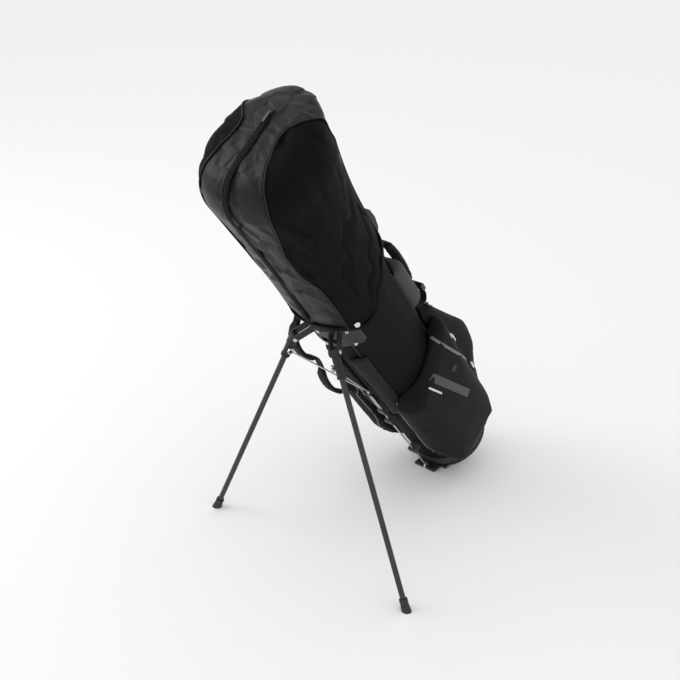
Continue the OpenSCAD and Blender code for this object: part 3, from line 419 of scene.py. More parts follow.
FINISHES: dict[str, Finish] = {
    "body_nylon": Nylon("body nylon", (0.0065, 0.0065, 0.007), 0.72, sheen=0.0),
    "cuff_plastic": Moulded("cuff plastic", (0.02, 0.02, 0.022), 0.42),
    "divider_fleece": Fleece("divider fleece", (0.07, 0.07, 0.075), 0.92),
    "stay_fibre": Moulded("stay fibre", (0.6, 0.58, 0.5), 0.4),
    "base_plastic": Moulded("base plastic", (0.03, 0.03, 0.032), 0.5),
    "sole_rubber": Rubber("sole rubber", (0.02, 0.02, 0.02), 0.8),
    "pedal_plastic": Moulded("pedal plastic", (0.03, 0.03, 0.031), 0.5),
    "zinc_steel": Metal("zinc steel", (0.62, 0.63, 0.65), 0.34),
    "bracket_nylon": Moulded("bracket nylon", (0.016, 0.0165, 0.017), 0.4),
    "leg_alloy": Metal("leg alloy", (0.055, 0.056, 0.06), 0.34, metallic=0.85),
    "boot_rubber": Rubber("boot rubber", (0.035, 0.035, 0.035), 0.72),
    "wire_steel": Metal("wire steel", (0.6, 0.61, 0.63), 0.3),
    "clip_plastic": Moulded("clip plastic", (0.05, 0.05, 0.052), 0.42),
    "pocket_nylon": Nylon("pocket nylon", (0.009, 0.009, 0.0095), 0.66, sheen=0.0, gloss=0.12),
    "grey_nylon": Nylon("grey nylon", (0.062, 0.064, 0.067), 0.7),
    "slider_metal": Metal("slider enamel", (0.75, 0.75, 0.76), 0.35, metallic=0.2),
    "handle_plastic": Moulded("handle plastic", (0.03, 0.03, 0.031), 0.45),
    "strap_mesh": SpacerMesh("strap mesh", (0.02, 0.02, 0.022), 0.82),
    "webbing": Webbing("strap webbing", (0.014, 0.014, 0.015), 0.75),
    "buckle_plastic": Moulded("buckle plastic", (0.02, 0.02, 0.021), 0.3, gloss=0.2),
    "ring_steel": Metal("ring steel", (0.5, 0.5, 0.52), 0.28),
    "hood_nylon": Nylon("hood nylon", (0.0045, 0.0045, 0.0048), 0.62, sheen=0.0, gloss=0.06),
    "zip_tape": Nylon("zip tape", (0.01, 0.01, 0.011), 0.7, pitch=0.001),
    "snap_chrome": Metal("snap chrome", (0.78, 0.78, 0.8), 0.16),
    "head_composite": Lacquer("head composite", (0.01, 0.01, 0.012), 0.22),
    "shaft_graphite": Lacquer("shaft graphite", (0.016, 0.016, 0.018), 0.28),
    "head_steel": Metal("head steel", (0.58, 0.58, 0.6), 0.3),
    "shaft_steel": Metal("shaft steel", (0.72, 0.72, 0.74), 0.14),
    "grip_rubber": Rubber("grip rubber", (0.018, 0.018, 0.018), 0.78, dust=0.2),
}
CORD = {"pitch": 0.001, "creases": 0.0003, "gloss": 0.25}
EXTRA: dict[str, Finish] = {
    "hood_front": Coated("hood front", (0.009, 0.009, 0.0095), 0.4),
    "piping": Nylon("piping", (0.02, 0.02, 0.021), 0.5, **CORD),
    "light_piping": Nylon("light piping", (0.16, 0.16, 0.165), 0.5, **CORD),
    "reflective": Coated("reflective band", (0.075, 0.075, 0.078), 0.5, crinkle=0.0004, spread=0.15),
    "white_rubber": Rubber("white rubber", (0.7, 0.7, 0.7), 0.5, dust=0.1),
    "dark_metal": Metal("dark metal", (0.12, 0.12, 0.125), 0.3),
    "zip_coil": Webbing("zip coil", (0.02, 0.02, 0.021), 0.4, rib=0.0016),
}


class Wardrobe:
    """The finishes as materials, each made once."""

    def __init__(self) -> None:
        self.made: dict[str, bpy.types.Material] = {}

    def get(self, name: str) -> bpy.types.Material:
        """The material of a record slot or of one of the extra finishes."""
        if name not in self.made:
            self.made[name] = (FINISHES.get(name) or EXTRA[name]).make()
        return self.made[name]


WARDROBE = Wardrobe()


# ------------------------------------------------------------------ frames and mesh tools


@dataclass(frozen=True)
class BagFrame:
    """The bag's own frame: its lean, where the row's origin is on its heel, and its mouth."""

    lean: float = math.radians(37.0)
    heel_y: float = -0.0853959
    heel_z: float = 0.0018054
    body_h: float = 0.82
    mouth_slope: float = math.radians(20)

    def out(self, points: Array) -> Array:
        """Bag points in the row frame: shifted to the heel, then turned by the lean about x."""
        return self.turn(points - np.array([0.0, self.heel_y, self.heel_z]))

    def turn(self, ways: Array) -> Array:
        """Bag directions in the row frame."""
        c, s = math.cos(self.lean), math.sin(self.lean)
        y, z = ways[..., 1], ways[..., 2]
        return np.stack([ways[..., 0], y * c - z * s, y * s + z * c], -1)

    def back(self, points: Array) -> Array:
        """Row points in the bag's frame."""
        c, s = math.cos(self.lean), math.sin(self.lean)
        y, z = points[..., 1], points[..., 2]
        return np.stack(
            [points[..., 0], y * c + z * s + self.heel_y, -y * s + z * c + self.heel_z], -1
        )


BAG = BagFrame()


def values(mesh: bpy.types.Mesh, what: str = "co") -> Array:
    """Each vertex's place or normal, one row each."""
    flat = np.zeros(len(mesh.vertices) * 3, np.float32)
    mesh.vertices.foreach_get(what, flat)
    return flat.reshape(-1, 3)


def quads(rows: int, columns: int, wrap: bool) -> Array:
    """Faces of a rows x columns grid, joined round its columns if wrap is set."""
    i = np.arange(rows - 1)[:, None]
    j = np.arange(columns if wrap else columns - 1)[None, :]
    k = (j + 1) % columns
    return np.stack(
        [i * columns + j, i * columns + k, (i + 1) * columns + k, (i + 1) * columns + j], -1
    ).reshape(-1, 4)


def closing(rows: int, columns: int) -> list:
    """Faces that join a wrapped grid's last row to its first."""
    last = (rows - 1) * columns
    step = np.arange(columns)
    after = (step + 1) % columns
    return np.stack([last + step, last + after, after, step], -1).tolist()


def caps(rows: int, columns: int) -> list:
    """The two faces that close the ends of a wrapped grid."""
    count = rows * columns
    return [list(range(columns)), list(range(count - 1, count - columns - 1, -1))]


def unit(ways: Array) -> Array:
    """The directions at length 1."""
    return ways / np.maximum(np.linalg.norm(ways, axis=-1, keepdims=True), 1e-12)


def add(name: str, data: object) -> Thing:
    """A new object of the scene that holds a mesh, a lamp's light or a camera's lens."""
    thing = bpy.data.objects.new(name, data)
    bpy.context.scene.collection.objects.link(thing)
    return thing


def dress(thing: Thing, finish: str) -> None:
    """Gives a thing one finish."""
    thing.data.materials.clear()
    thing.data.materials.append(WARDROBE.get(finish))


def shade_smooth(thing: Thing) -> None:
    """Shades every face of a thing smooth."""
    thing.data.polygons.foreach_set("use_smooth", np.ones(len(thing.data.polygons), bool))


def make(name: str, points: Array, faces: list, finish: str) -> Thing:
    """A smooth mesh object from row-frame points and faces, dressed in one finish.

    Args:
        name: the piece's name.
        points: its vertices, one row each.
        faces: its faces, as lists of vertex numbers.
        finish: the slot or extra finish that it takes.

    Returns:
        The new object, at the origin.
    """
    mesh = bpy.data.meshes.new(name)
    mesh.from_pydata(points.reshape(-1, 3).tolist(), [], faces)
    thing = add(name, mesh)
    dress(thing, finish)
    shade_smooth(thing)
    mesh.update()
    return thing


def face_out(thing: Thing, merge: bool = True) -> None:
    """Turns a closed mesh's faces outwards, after merging its doubles if merge is set."""
    shape = bmesh.new()
    shape.from_mesh(thing.data)
    if merge:
        bmesh.ops.remove_doubles(shape, verts=shape.verts, dist=1e-6)
    bmesh.ops.recalc_face_normals(shape, faces=shape.faces)
    shape.to_mesh(thing.data)
    shape.free()


def map_cloth(thing: Thing, u: Array, v: Array) -> None:
    """Writes the piece's own map in metres: u across and v along, one value for each vertex."""
    mesh = thing.data
    corners = np.zeros(len(mesh.loops), np.int32)
    mesh.loops.foreach_get("vertex_index", corners)
    layer = mesh.uv_layers.new(name="cloth")
    both = np.stack([u.ravel()[corners], v.ravel()[corners]], -1)
    layer.data.foreach_set("uv", both.astype(np.float32).ravel())


def whole_turn(count: int) -> Array:
    """Evenly spaced angles of a whole turn."""
    return np.linspace(0, TAU, count, endpoint=False)


def picked(rows: Array, count: int) -> Array:
    """As many of the rows as asked for, evenly picked."""
    return rows[np.linspace(0, len(rows) - 1, count).round().astype(int)]


def lengths(path: Array) -> Array:
    """The length of a path up to each of its points."""
    return np.concatenate([[0], np.cumsum(np.linalg.norm(np.diff(path, axis=0), axis=-1))])


def box_section(width: float, thick: float, corner: int = 3) -> Array:
    """A flat strap's section: a superellipse |x/w|^6 + |y/t|^3 = 1 on 4 * corner + 8 points."""
    turn = whole_turn(4 * corner + 8)
    c, s = np.cos(turn), np.sin(turn)
    return np.stack(
        [
            width / 2 * np.sign(c) * np.abs(c) ** (1 / 3),
            thick / 2 * np.sign(s) * np.abs(s) ** (2 / 3),
        ],
        -1,
    )


def round_section(radius: float, count: int = 10) -> Array:
    """A round section."""
    turn = whole_turn(count)
    return radius * np.stack([np.cos(turn), np.sin(turn)], -1)


def sweep(
    name: str,
    path: Array,
    up: Array,
    section: Array,
    finish: str,
    taper: Array | None = None,
    loop: bool = False,
) -> Thing:
    """A section carried along a path.

    Point (k, j) is path[k] + side[k] * x[j] + up[k] * y[j], with side the cross product of the
    path's tangent and up.

    Args:
        name: the piece's name.
        path: points of the middle line, in the row frame.
        up: the section's y direction at each point.
        section: the section's points (x, y).
        finish: its finish.
        taper: a factor on the section at each point.
        loop: whether the path closes on itself.

    Returns:
        The swept piece, with closed ends, and its map in metres.
    """
    if loop:
        tangent = unit(np.roll(path, -1, 0) - np.roll(path, 1, 0))
    else:
        tangent = unit(np.gradient(path, axis=0))
    up = unit(up - tangent * (up * tangent).sum(-1, keepdims=True))
    side = np.cross(tangent, up)
    scale = np.ones(len(path)) if taper is None else taper
    points = (
        path[:, None]
        + side[:, None] * (section[None, :, :1] * scale[:, None, None])
        + up[:, None] * (section[None, :, 1:] * scale[:, None, None])
    )
    rows, columns = points.shape[:2]
    faces = quads(rows, columns, True).tolist()
    faces += closing(rows, columns) if loop else caps(rows, columns)
    thing = make(name, points, faces, finish)
    run = lengths(path)
    u = np.broadcast_to(section[None, :, 0], (rows, columns))
    v = np.broadcast_to(run[:, None], (rows, columns))
    map_cloth(thing, u, v)
    face_out(thing, merge=False)
    return thing


def evenly(path: Array, step: float) -> Array:
    """The path's points respaced evenly by arc length, on a curve through them."""
    run = lengths(path)
    count = max(3, int(run[-1] / step) + 1)
    at = np.linspace(0, run[-1], count)
    slope = np.gradient(path, run, axis=0)
    k = np.clip(np.searchsorted(run, at, "right") - 1, 0, len(run) - 2)
    h = (run[k + 1] - run[k])[:, None]
    t = ((at - run[k])[:, None]) / h
    return (
        (2 * t**3 - 3 * t**2 + 1) * path[k]
        + (t**3 - 2 * t**2 + t) * h * slope[k]
        + (-2 * t**3 + 3 * t**2) * path[k + 1]
        + (t**3 - t**2) * h * slope[k + 1]
    )


def join(name: str, things: list[Thing]) -> Thing:
    """Joins meshes into the first and names it."""
    with bpy.context.temp_override(
        active_object=things[0],
        object=things[0],
        selected_objects=things,
        selected_editable_objects=things,
    ):
        bpy.ops.object.join()
    things[0].name = name
    things[0].data.name = name
    return things[0]


def declare(thing: Thing, body: str, node: str | None = None) -> None:
    """Declares a piece: the body it rides and the CAD node it replaces, if any."""
    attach(thing, body)
    if node:
        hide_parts(node)


def tree_of(things: list[Thing]) -> BVHTree:
    """A search tree over the finished meshes of some pieces."""
    bpy.context.view_layer.update()
    graph = bpy.context.evaluated_depsgraph_get()
    points: list = []
    faces: list = []
    for thing in things:
        mesh = thing.evaluated_get(graph).to_mesh()
        start = len(points)
        points += values(mesh).tolist()
        mesh.calc_loop_triangles()
        corners = np.zeros(len(mesh.loop_triangles) * 3, np.int32)
        mesh.loop_triangles.foreach_get("vertices", corners)
        faces += (corners.reshape(-1, 3) + start).tolist()
        thing.evaluated_get(graph).to_mesh_clear()
    return BVHTree.FromPolygons(points, faces)


@dataclass(frozen=True)
class Crumple:
    """Crumpled cloth: heights of tilted facets about scattered points.

    count is how many facets, tilt the steepest of them, and soften the width over which
    neighbours blend. stretch holds factors on x, y and z before distances are taken; a small
    one draws the facets out along that axis. seed settles the scatter.
    """

    count: int
    tilt: float
    stretch: Triple
    soften: float
    seed: int
    level: float = 0.0012
    batch: int = 8192

    def over(self, points: Array) -> Array:
        """The height at each place of the cloth.

        Args:
            points: the places.

        Returns:
            The blend of h + g . (p - s) over the nearest facets, where s is a facet's centre,
            g its tilt and h its height, each weighted by exp(-distance / soften).
        """
        dice = np.random.default_rng(self.seed)
        flat = points.reshape(-1, 3) * np.array(self.stretch)
        centres = flat[dice.choice(len(flat), self.count, replace=False)]
        ways = dice.uniform(-self.tilt, self.tilt, (self.count, 3))
        level = dice.uniform(-self.level, self.level, self.count)
        total = np.zeros(len(flat))
        for start in range(0, len(flat), self.batch):
            part = flat[start : start + self.batch]
            away = part[:, None] - centres[None]
            gap = np.linalg.norm(away, axis=-1)
            share = np.exp(-(gap - gap.min(1, keepdims=True)) / self.soften)
            height = level + (away * ways).sum(-1)
            total[start : start + self.batch] = (share * height).sum(1) / share.sum(1)
        return total.reshape(points.shape[:-1])


COAT_CRUMPLE = Crumple(count=260, tilt=0.17, stretch=(1.0, 1.0, 0.8), soften=0.0014, seed=5)
SIDE_CRUMPLE = Crumple(count=170, tilt=0.2, stretch=(1.0, 1.0, 0.3), soften=0.003, seed=11)
TUBE_CRUMPLE = Crumple(count=200, tilt=0.06, stretch=(1.0, 1.0, 0.5), soften=0.006, seed=3)


# ------------------------------------------------------------------ padded pieces


@dataclass
class Padding:
    """How a padded piece is made from its CAD solid: remeshed, softened and filled."""

    voxel: float = 0.005
    soften: int = 12
    pressure: float = 4.0
    most: float = 0.005
    frames: int = 20
    fill: float = 0.6
    cloth: dict = field(
        default_factory=lambda: {
            "quality": 4,
            "mass": 0.3,
            "tension_stiffness": 30,
            "compression_stiffness": 30,
            "bending_stiffness": 0.5,
            "use_pressure": True,
        }
    )

    def copy_of(self, node: str, name: str) -> Thing:
        """A remeshed copy of a CAD node's solid."""
        thing = add(name, frame["nodes"][node].data.copy())
        face_out(thing)
        remesh = thing.modifiers.new("voxels", "REMESH")
        remesh.mode = "VOXEL"
        remesh.voxel_size = self.voxel
        smooth = thing.modifiers.new("soften", "SMOOTH")
        smooth.factor = 0.5
        smooth.iterations = self.soften
        self.settle(thing)
        return thing

    def settle(self, thing: Thing) -> None:
        """Applies every modifier of the piece."""
        graph = bpy.context.evaluated_depsgraph_get()
        mesh = bpy.data.meshes.new_from_object(thing.evaluated_get(graph))
        thing.modifiers.clear()
        thing.data = mesh

    def inflate(self, thing: Thing, hold: Array) -> None:
        """Fills the piece by a cloth simulation under pressure.

        Args:
            thing: the remeshed piece.
            hold: for each vertex, the share of the simulated move that it keeps.
        """
        before = values(thing.data)
        cloth = thing.modifiers.new("cloth", "CLOTH")
        for setting, value in self.cloth.items():
            setattr(cloth.settings, setting, value)
        cloth.settings.uniform_pressure_force = self.pressure
        cloth.settings.effector_weights.gravity = 0
        cloth.point_cache.frame_end = self.frames
        scene = bpy.context.scene
        for number in range(1, self.frames + 1):
            scene.frame_set(number)
        self.settle(thing)
        scene.frame_set(1)
        move = values(thing.data) - before
        size = np.linalg.norm(move, axis=-1, keepdims=True)
        move *= np.minimum(1.0, self.most / np.maximum(size, 1e-9)) * hold[:, None]
        thing.data.vertices.foreach_set("co", (before + move).ravel())
        thing.data.update()
        thing.data.update_tag()

    def plump(self, node: str, name: str, finish: str, body: str) -> Thing:
        """A padded piece that stands for one CAD node."""
        thing = self.copy_of(node, name)
        ways = values(thing.data, "normal")
        place = BAG.back(values(thing.data).astype(float))
        c, s = math.cos(BAG.lean), math.sin(BAG.lean)
        local_y = ways[:, 1] * c + ways[:, 2] * s
        radial = unit(place[:, :2])
        outward = ways[:, 0] * radial[:, 0] + local_y * radial[:, 1]
        self.inflate(thing, np.clip((outward + 0.2) / 0.8, 0, 1))
        dress(thing, finish)
        shade_smooth(thing)
        declare(thing, body, node)
        log.info("padded piece %s: %d vertices", name, len(ways))
        return thing


# ------------------------------------------------------------------ the rain hood


def through(t: Array, low: float, middle: float, high: float) -> Array:
    """The quadratic in t that is low at 0, middle at 1/2 and high at 1."""
    return low * (1 - t) * (1 - 2 * t) + middle * 4 * t * (1 - t) + high * t * (2 * t - 1)


@dataclass
class RainHood:
    """The rain hood: its rings from the hem over the dome, its folds, seams and zip.

    half_width, front and back are its sizes at the hem, the waist and the shoulder.
    """

    half_width: tuple = (0.120, 0.122, 0.135)
    front: tuple = (0.119, 0.110, 0.112)
    back: tuple = (0.119, 0.1225, 0.1445)
    shoulder_z: float = 1.152
    dome_h: float = 0.084
    dome_y: float = 0.0476
    dome_power: float = 0.284
    dome_end: float = 89.9
    dome_crowd: float = 2.2
    square: float = 2.4
    peak: float = 0.036
    peak_at: float = 44.0
    peak_run: float = 18.0
    peak_wide: float = 38.0
    mouth_y: float = 0.109
    hem_reach: float = 0.119
    hem_drop: float = 0.0318
    tongue: float = 0.054
    tongue_at: float = 68.4
    tongue_wide: float = 31.7
    across: int = 300
    up_wall: int = 120
    up_dome: int = 64
    front_rises: tuple = (0.0, 0.2, 0.4, 0.55, 0.74, 0.94, 1.18, 1.34, 1.6, 1.78, 1.824)
    front_turns: tuple = (-50.0, -49.0, -52.0, -63.0, -64.0, -56.0, -51.0, -50.0, -44.0, -24.0, -1.0)
    back_rises: tuple = (0.0, 0.6, 1.1, 1.336, 1.617, 1.783, 1.824)
    back_turns: tuple = (50.0, 54.0, 50.0, 42.0, 31.0, 19.0, -1.0)
    cut: tuple = (0.9, 0.62)
    cut_area: float = 0.46
    flat_by_seam: float = 9.0
    thickness: float = 0.0012
    snap_turn: float = -39.0
    snap_z: float = 0.76
    fan_radius: float = 0.12
    fan_low: float = 0.03
    fan_folds: float = 9.5
    fan_depth: float = 0.0034
    fan_from: float = 0.03
    fan_in: float = 0.09
    fan_to: float = 0.47
    fan_out: float = 0.18
    waist_z: float = 0.99
    waist_run: float = 0.09
    lowest_fold: float = -0.0005
    deepest_fold: float = 0.0055
    seam_band: tuple = (0.007, 0.0016)
    seam_cord: float = 0.0013
    hem_band: tuple = (0.012, 0.0022)
    zip_rises: tuple = (0.03, 0.3, 0.6, 1.0, 1.2, 1.5, 1.8, 1.97)
    zip_end_y: float = 0.098
    zip_lift: float = 0.0012
    zip_tape: tuple = (0.013, 0.001)
    zip_coil: float = 0.0014
    welt_band: tuple = (0.003, 0.0012)
    welt_apart: float = 0.0055

    def hem_z(self, turn: Array) -> Array:
        """Height of the hem round the bag: parallel to the mouth, with a tongue at each side."""
        c, s = np.cos(turn), np.sin(turn)
        slope = (self.hem_reach * s + self.mouth_y) * math.tan(BAG.mouth_slope)
        level = BAG.body_h - self.hem_drop + slope
        away = (np.degrees(np.arcsin(np.abs(c))) - self.tongue_at) / self.tongue_wide
        front = np.clip((0.35 - s) * 2, 0, 1)
        return level - self.tongue * np.exp(-(away**2)) * front

    def form(self, turn: Array, rise: Array, grow: float = 0.0) -> Array:
        """The hood's surface in the bag's frame.

        Args:
            turn: angle round the bag from +x towards the spine.
            rise: 0 at the hem, 1 at the shoulder, 2 at the top of the dome.
            grow: how far outside the fabric's outer face.

        Returns:
            The points. Below the shoulder each ring is a superellipse whose half width, front
            and back are quadratics of the rise; above it the shoulder's ring shrinks as
            cos(b)^power while it climbs as sin(b), with b from 0 to 89.9 degrees. A lobe of
            exp(-turn^2 - level^2) pushes out the back of the dome.
        """
        t = np.clip(rise, 0, 1)
        b = np.radians(self.dome_end * (1 - (1 - np.clip(rise - 1, 0, 1)) ** self.dome_crowd))
        k = np.cos(b) ** self.dome_power
        wide, front, back = (
            through(t, *sizes) + grow for sizes in (self.half_width, self.front, self.back)
        )
        c, s = np.cos(turn), np.sin(turn)
        x = wide * k * np.sign(c) * np.abs(c) ** (2 / self.square)
        y = (front + back) / 2 * k * np.sign(s) * np.abs(s) ** (2 / self.square)
        y = y + (back - front) / 2 * np.cos(b) + self.dome_y * (1 - np.cos(b))
        off = (np.degrees(turn) - 90 + 180) % 360 - 180
        level = np.where(rise > 1, np.degrees(b), -180 * (1 - t))
        lobe = np.exp(-((off / self.peak_wide) ** 2) - ((level - self.peak_at) / self.peak_run) ** 2)
        y = y + self.peak * lobe
        z = (1 - t) * self.hem_z(turn) + t * self.shoulder_z + (self.dome_h + grow) * np.sin(b)
        return np.stack([x, y, z], -1)

    def shell(self) -> Thing:
        """The hood's fabric: one folded sheet, its front panels coated and its sides matt."""
        turn = whole_turn(self.across)
        wall = np.linspace(0, 1, self.up_wall)
        dome = 1 + np.linspace(0, 1, self.up_dome)[1:]
        rise = np.concatenate([wall, dome])
        turns, rises = np.meshgrid(turn, rise)
        points = self.form(turns, rises)
        normal = unit(np.cross(np.gradient(points, axis=1), np.gradient(points, axis=0)))
        points = points - normal * self.folds(turns, rises, points)[..., None]
        rows, columns = rises.shape
        faces = quads(rows, columns, True)
        middle = (faces[:, 0] // columns, faces[:, 0] % columns)
        front = self.is_front(turns[middle], rises[middle])
        top = rows * columns
        flat = np.concatenate([points.reshape(-1, 3), points[-1].mean(0, keepdims=True)])
        last = (rows - 1) * columns
        step = np.arange(columns)
        cap = np.stack([last + step, last + (step + 1) % columns, np.full(columns, top)], -1)
        thing = make("hood_fabric", BAG.out(flat), faces.tolist() + cap.tolist(), "hood_nylon")
        thing.data.materials.append(WARDROBE.get("hood_front"))
        share = np.concatenate([front, np.ones(columns, bool)]).astype(np.int32)
        thing.data.polygons.foreach_set("material_index", share)
        wall_thick = thing.modifiers.new("thickness", "SOLIDIFY")
        wall_thick.thickness = self.thickness
        wall_thick.offset = -1.0
        return thing

    def is_front(self, turn: Array, rise: Array) -> Array:
        """Whether a place is on the coated panels, outside the two matt side panels."""
        _, front, back = self.by_seams(turn, rise)
        return (front < 0) | (back > 0) | (rise > self.front_rises[-1])

    def by_seams(self, turn: Array, rise: Array) -> tuple:
        """Degrees from the side towards the back, and the degrees past each seam."""
        a = np.degrees(np.arctan2(np.sin(turn), np.abs(np.cos(turn))))
        front = a - np.interp(rise, self.front_rises, self.front_turns)
        back = a - np.interp(rise, self.back_rises, self.back_turns)
        return a, front, back

    def folds(self, turn: Array, rise: Array, points: Array) -> Array:
        """How deep the fabric lies under its form, in metres.

        The coated panels are crumpled into small sharp facets, deeper about the waist. The
        matt side panels hang in long folds that fan out from the snap: 1 - 2 |sin| of the angle
        about the snap, bent by a slower sine of the distance from it, over soft facets
        stretched along the bag. Folds fade by the hem and the seams, and all are clipped.
        """
        front = self.is_front(turn, rise)
        sharp = COAT_CRUMPLE.over(points)
        soft = SIDE_CRUMPLE.over(points)
        a, past_front, past_back = self.by_seams(turn, rise)
        z = points[..., 2]
        across = np.radians(a - self.snap_turn) * self.fan_radius
        up = z - self.snap_z
        far = np.hypot(across, up)
        fan = np.arctan2(across, up + self.fan_low)
        phase = self.fan_folds * fan + 1.1 * np.sin(11.0 * far) + 1.2 * soft / 0.004
        wave = 1.0 - 2.0 * np.abs(np.sin(phase))
        reach = np.clip((far - self.fan_from) / self.fan_in, 0, 1)
        reach = reach * np.clip((self.fan_to - far) / self.fan_out, 0, 1)
        side = soft + self.fan_depth * wave * reach + 0.0008
        waist = np.exp(-(((z - self.waist_z) / self.waist_run) ** 2))
        ripple = 0.0016 * waist * np.sin(np.degrees(turn) * 0.21 + 30 * z)
        coat = sharp * (0.75 + 0.9 * waist) + ripple
        edge = np.clip(rise / 0.03, 0, 1) * 0.8 + 0.2
        gap = np.minimum(np.abs(past_front), np.abs(past_back))
        sewn = np.clip(gap / self.flat_by_seam, 0.1, 1)
        depth = np.where(front, coat + 0.001, side) * edge * sewn
        return np.clip(depth, self.lowest_fold, self.deepest_fold)

    def line(self, turns: list, rises: list, grow: float, step: float = 0.003) -> tuple:
        """A smooth line over the form.

        Args:
            turns: degrees from the side towards the back, at each of a few places.
            rises: the rise at each place.
            grow: how far outside the form it runs.
            step: the spacing of its points.

        Returns:
            The line's row-frame points and the form's outward directions there.
        """
        count = 12 * len(turns)
        at = np.linspace(0, len(turns) - 1, count)
        turn = np.radians(np.interp(at, range(len(turns)), turns))
        rise = np.interp(at, range(len(rises)), rises)
        soft = np.ones(7) / 7
        turn = np.convolve(np.pad(turn, 3, "edge"), soft, "valid")
        rise = np.convolve(np.pad(rise, 3, "edge"), soft, "valid")
        low = evenly(self.form(turn, rise, grow), step)
        high = evenly(self.form(turn, rise, grow + 0.01), step)
        return BAG.out(low), BAG.turn(unit(picked(high, len(low)) - low))

    def seams(self) -> list[Thing]:
        """Felled seams round the two side panels, each a flat band with a cord at its edge."""
        things = []
        turns = list(self.front_turns) + list(self.back_turns)[-2::-1]
        rises = list(self.front_rises) + list(self.back_rises)[-2::-1]
        for side in (1, -1):
            degrees = turns if side > 0 else [180 - a for a in turns]
            path, up = self.line(degrees, rises, 0.0009)
            section = box_section(*self.seam_band)
            things.append(sweep(f"hood_seam_{side}", path, up, section, "hood_nylon"))
            section = round_section(self.seam_cord)
            things.append(sweep(f"hood_cord_{side}", path + up * 0.0009, up, section, "piping"))
        return things

    def hem(self) -> Thing:
        """The hem's turned-up band."""
        turn = whole_turn(240)
        low = self.form(turn, np.full(240, 0.012), 0.0004)
        high = self.form(turn, np.full(240, 0.012), 0.01)
        return sweep(
            "hood_hem",
            BAG.out(low),
            BAG.turn(unit(high - low)),
            box_section(*self.hem_band),
            "hood_nylon",
            loop=True,
        )

    def zip(self) -> list[Thing]:
        """The zip over the front and the dome: tape, two welts and the coil."""
        turns = [-90.0] * len(self.zip_rises)
        path, up = self.line(turns, list(self.zip_rises), self.zip_lift)
        end = [0.0, self.zip_end_y, self.shoulder_z + self.dome_h + self.zip_lift]
        flat = BAG.out(np.array([end]))[0]
        tail = path[-1] + (flat - path[-1]) * np.linspace(0, 1, 24)[1:, None]
        path = evenly(np.concatenate([path, tail]), 0.003)
        up = unit(np.concatenate([up, np.repeat(up[-1:], len(tail), 0)]))
        up = picked(up, len(path))
        side = np.array([1.0, 0.0, 0.0])
        coil = round_section(self.zip_coil)
        welt = box_section(*self.welt_band)
        things = [
            sweep("zip_tape", path, up, box_section(*self.zip_tape), "zip_tape"),
            sweep("zip_coil", path + up * 0.0012, up, coil, "zip_coil"),
        ]
        for k in (-1, 1):
            line = path + up * 0.0009 + side * k * self.welt_apart
            things.append(sweep(f"zip_welt_{k}", line, up, welt, "zip_tape"))
        return things

    def build(self) -> list[Thing]:
        thing = self.shell()
        trim = join("hood_seams", self.seams())
        hem = self.hem()
        zip_line = join("hood_zip_line", self.zip())
        declare(thing, "hood", "rain_hood")
        declare(trim, "hood")
        declare(hem, "hood")
        declare(zip_line, "hood", "hood_zip")
        return [thing, trim, hem, zip_line]


# ------------------------------------------------------------------ body, straps and webbing


@dataclass
class BagBody:
    """The bag's padded tube with its seams."""

    half_x: float = 0.094
    half_y: float = 0.100
    flare: float = 0.009
    low: float = 0.0262
    wall: float = 0.003
    columns: int = 220
    rows: int = 150
    inner_rows: int = 20
    dent: float = 0.0006
    deepest: float = 0.002
    seam_turns: tuple = (-62.0, -118.0, 38.0, 142.0)
    seam_run: tuple = (0.07, 0.755)
    seam_cord: float = 0.0016

    def skin(self, turn: Array, z: Array, grow: float) -> Array:
        """An ellipse round the axis whose half width and half depth grow evenly with height."""
        grown = self.flare * z / BAG.body_h + grow
        x, y = (self.half_x + grown) * np.cos(turn), (self.half_y + grown) * np.sin(turn)
        return np.stack([x, y, z], -1)

    def rim(self, turn: Array) -> Array:
        """Height of the tube's rim: the mouth's slope, 10 mm below the cuff's."""
        reach = self.half_y + self.flare
        return BAG.body_h - 0.01 + (reach * np.sin(turn) + reach) * math.tan(BAG.mouth_slope)

    def tube(self) -> Thing:
        """The tube: up its outside, over the rim and down its inside, slightly crumpled."""
        turn = whole_turn(self.columns)
        share = np.concatenate([np.linspace(0, 1, self.rows), np.linspace(1, 0, self.inner_rows)])
        inner = np.concatenate([np.zeros(self.rows), np.ones(self.inner_rows)])
        turns, shares = np.meshgrid(turn, share)
        inners = np.broadcast_to(inner[:, None], turns.shape)
        z = self.low + shares * (self.rim(turns) - self.low)
        points = self.skin(turns, z, 0.0)
        dent = np.clip(TUBE_CRUMPLE.over(points) + self.dent, 0, self.deepest)
        points = self.skin(turns, z, -self.wall * inners - dent * (1 - inners))
        rows, columns = turns.shape
        faces = quads(rows, columns, True).tolist() + closing(rows, columns)
        thing = make("body_fabric", BAG.out(points), faces, "body_nylon")
        face_out(thing)
        return thing

    def seam(self, degrees: float) -> Thing:
        """A piped seam up the tube at one angle."""
        z = np.linspace(*self.seam_run, 90)
        turn = np.full(90, math.radians(degrees))
        path = self.skin(turn, z, 0.0002)
        up = unit(self.skin(turn, z, 0.01) - path)
        cord = round_section(self.seam_cord)
        return sweep(f"body_seam_{degrees}", BAG.out(path), BAG.turn(up), cord, "piping")

    def build(self) -> list[Thing]:
        thing = self.tube()
        seams = join("body_seams", [self.seam(degrees) for degrees in self.seam_turns])
        declare(thing, "bag", "bag_tube")
        declare(seams, "bag")
        return [thing, seams]


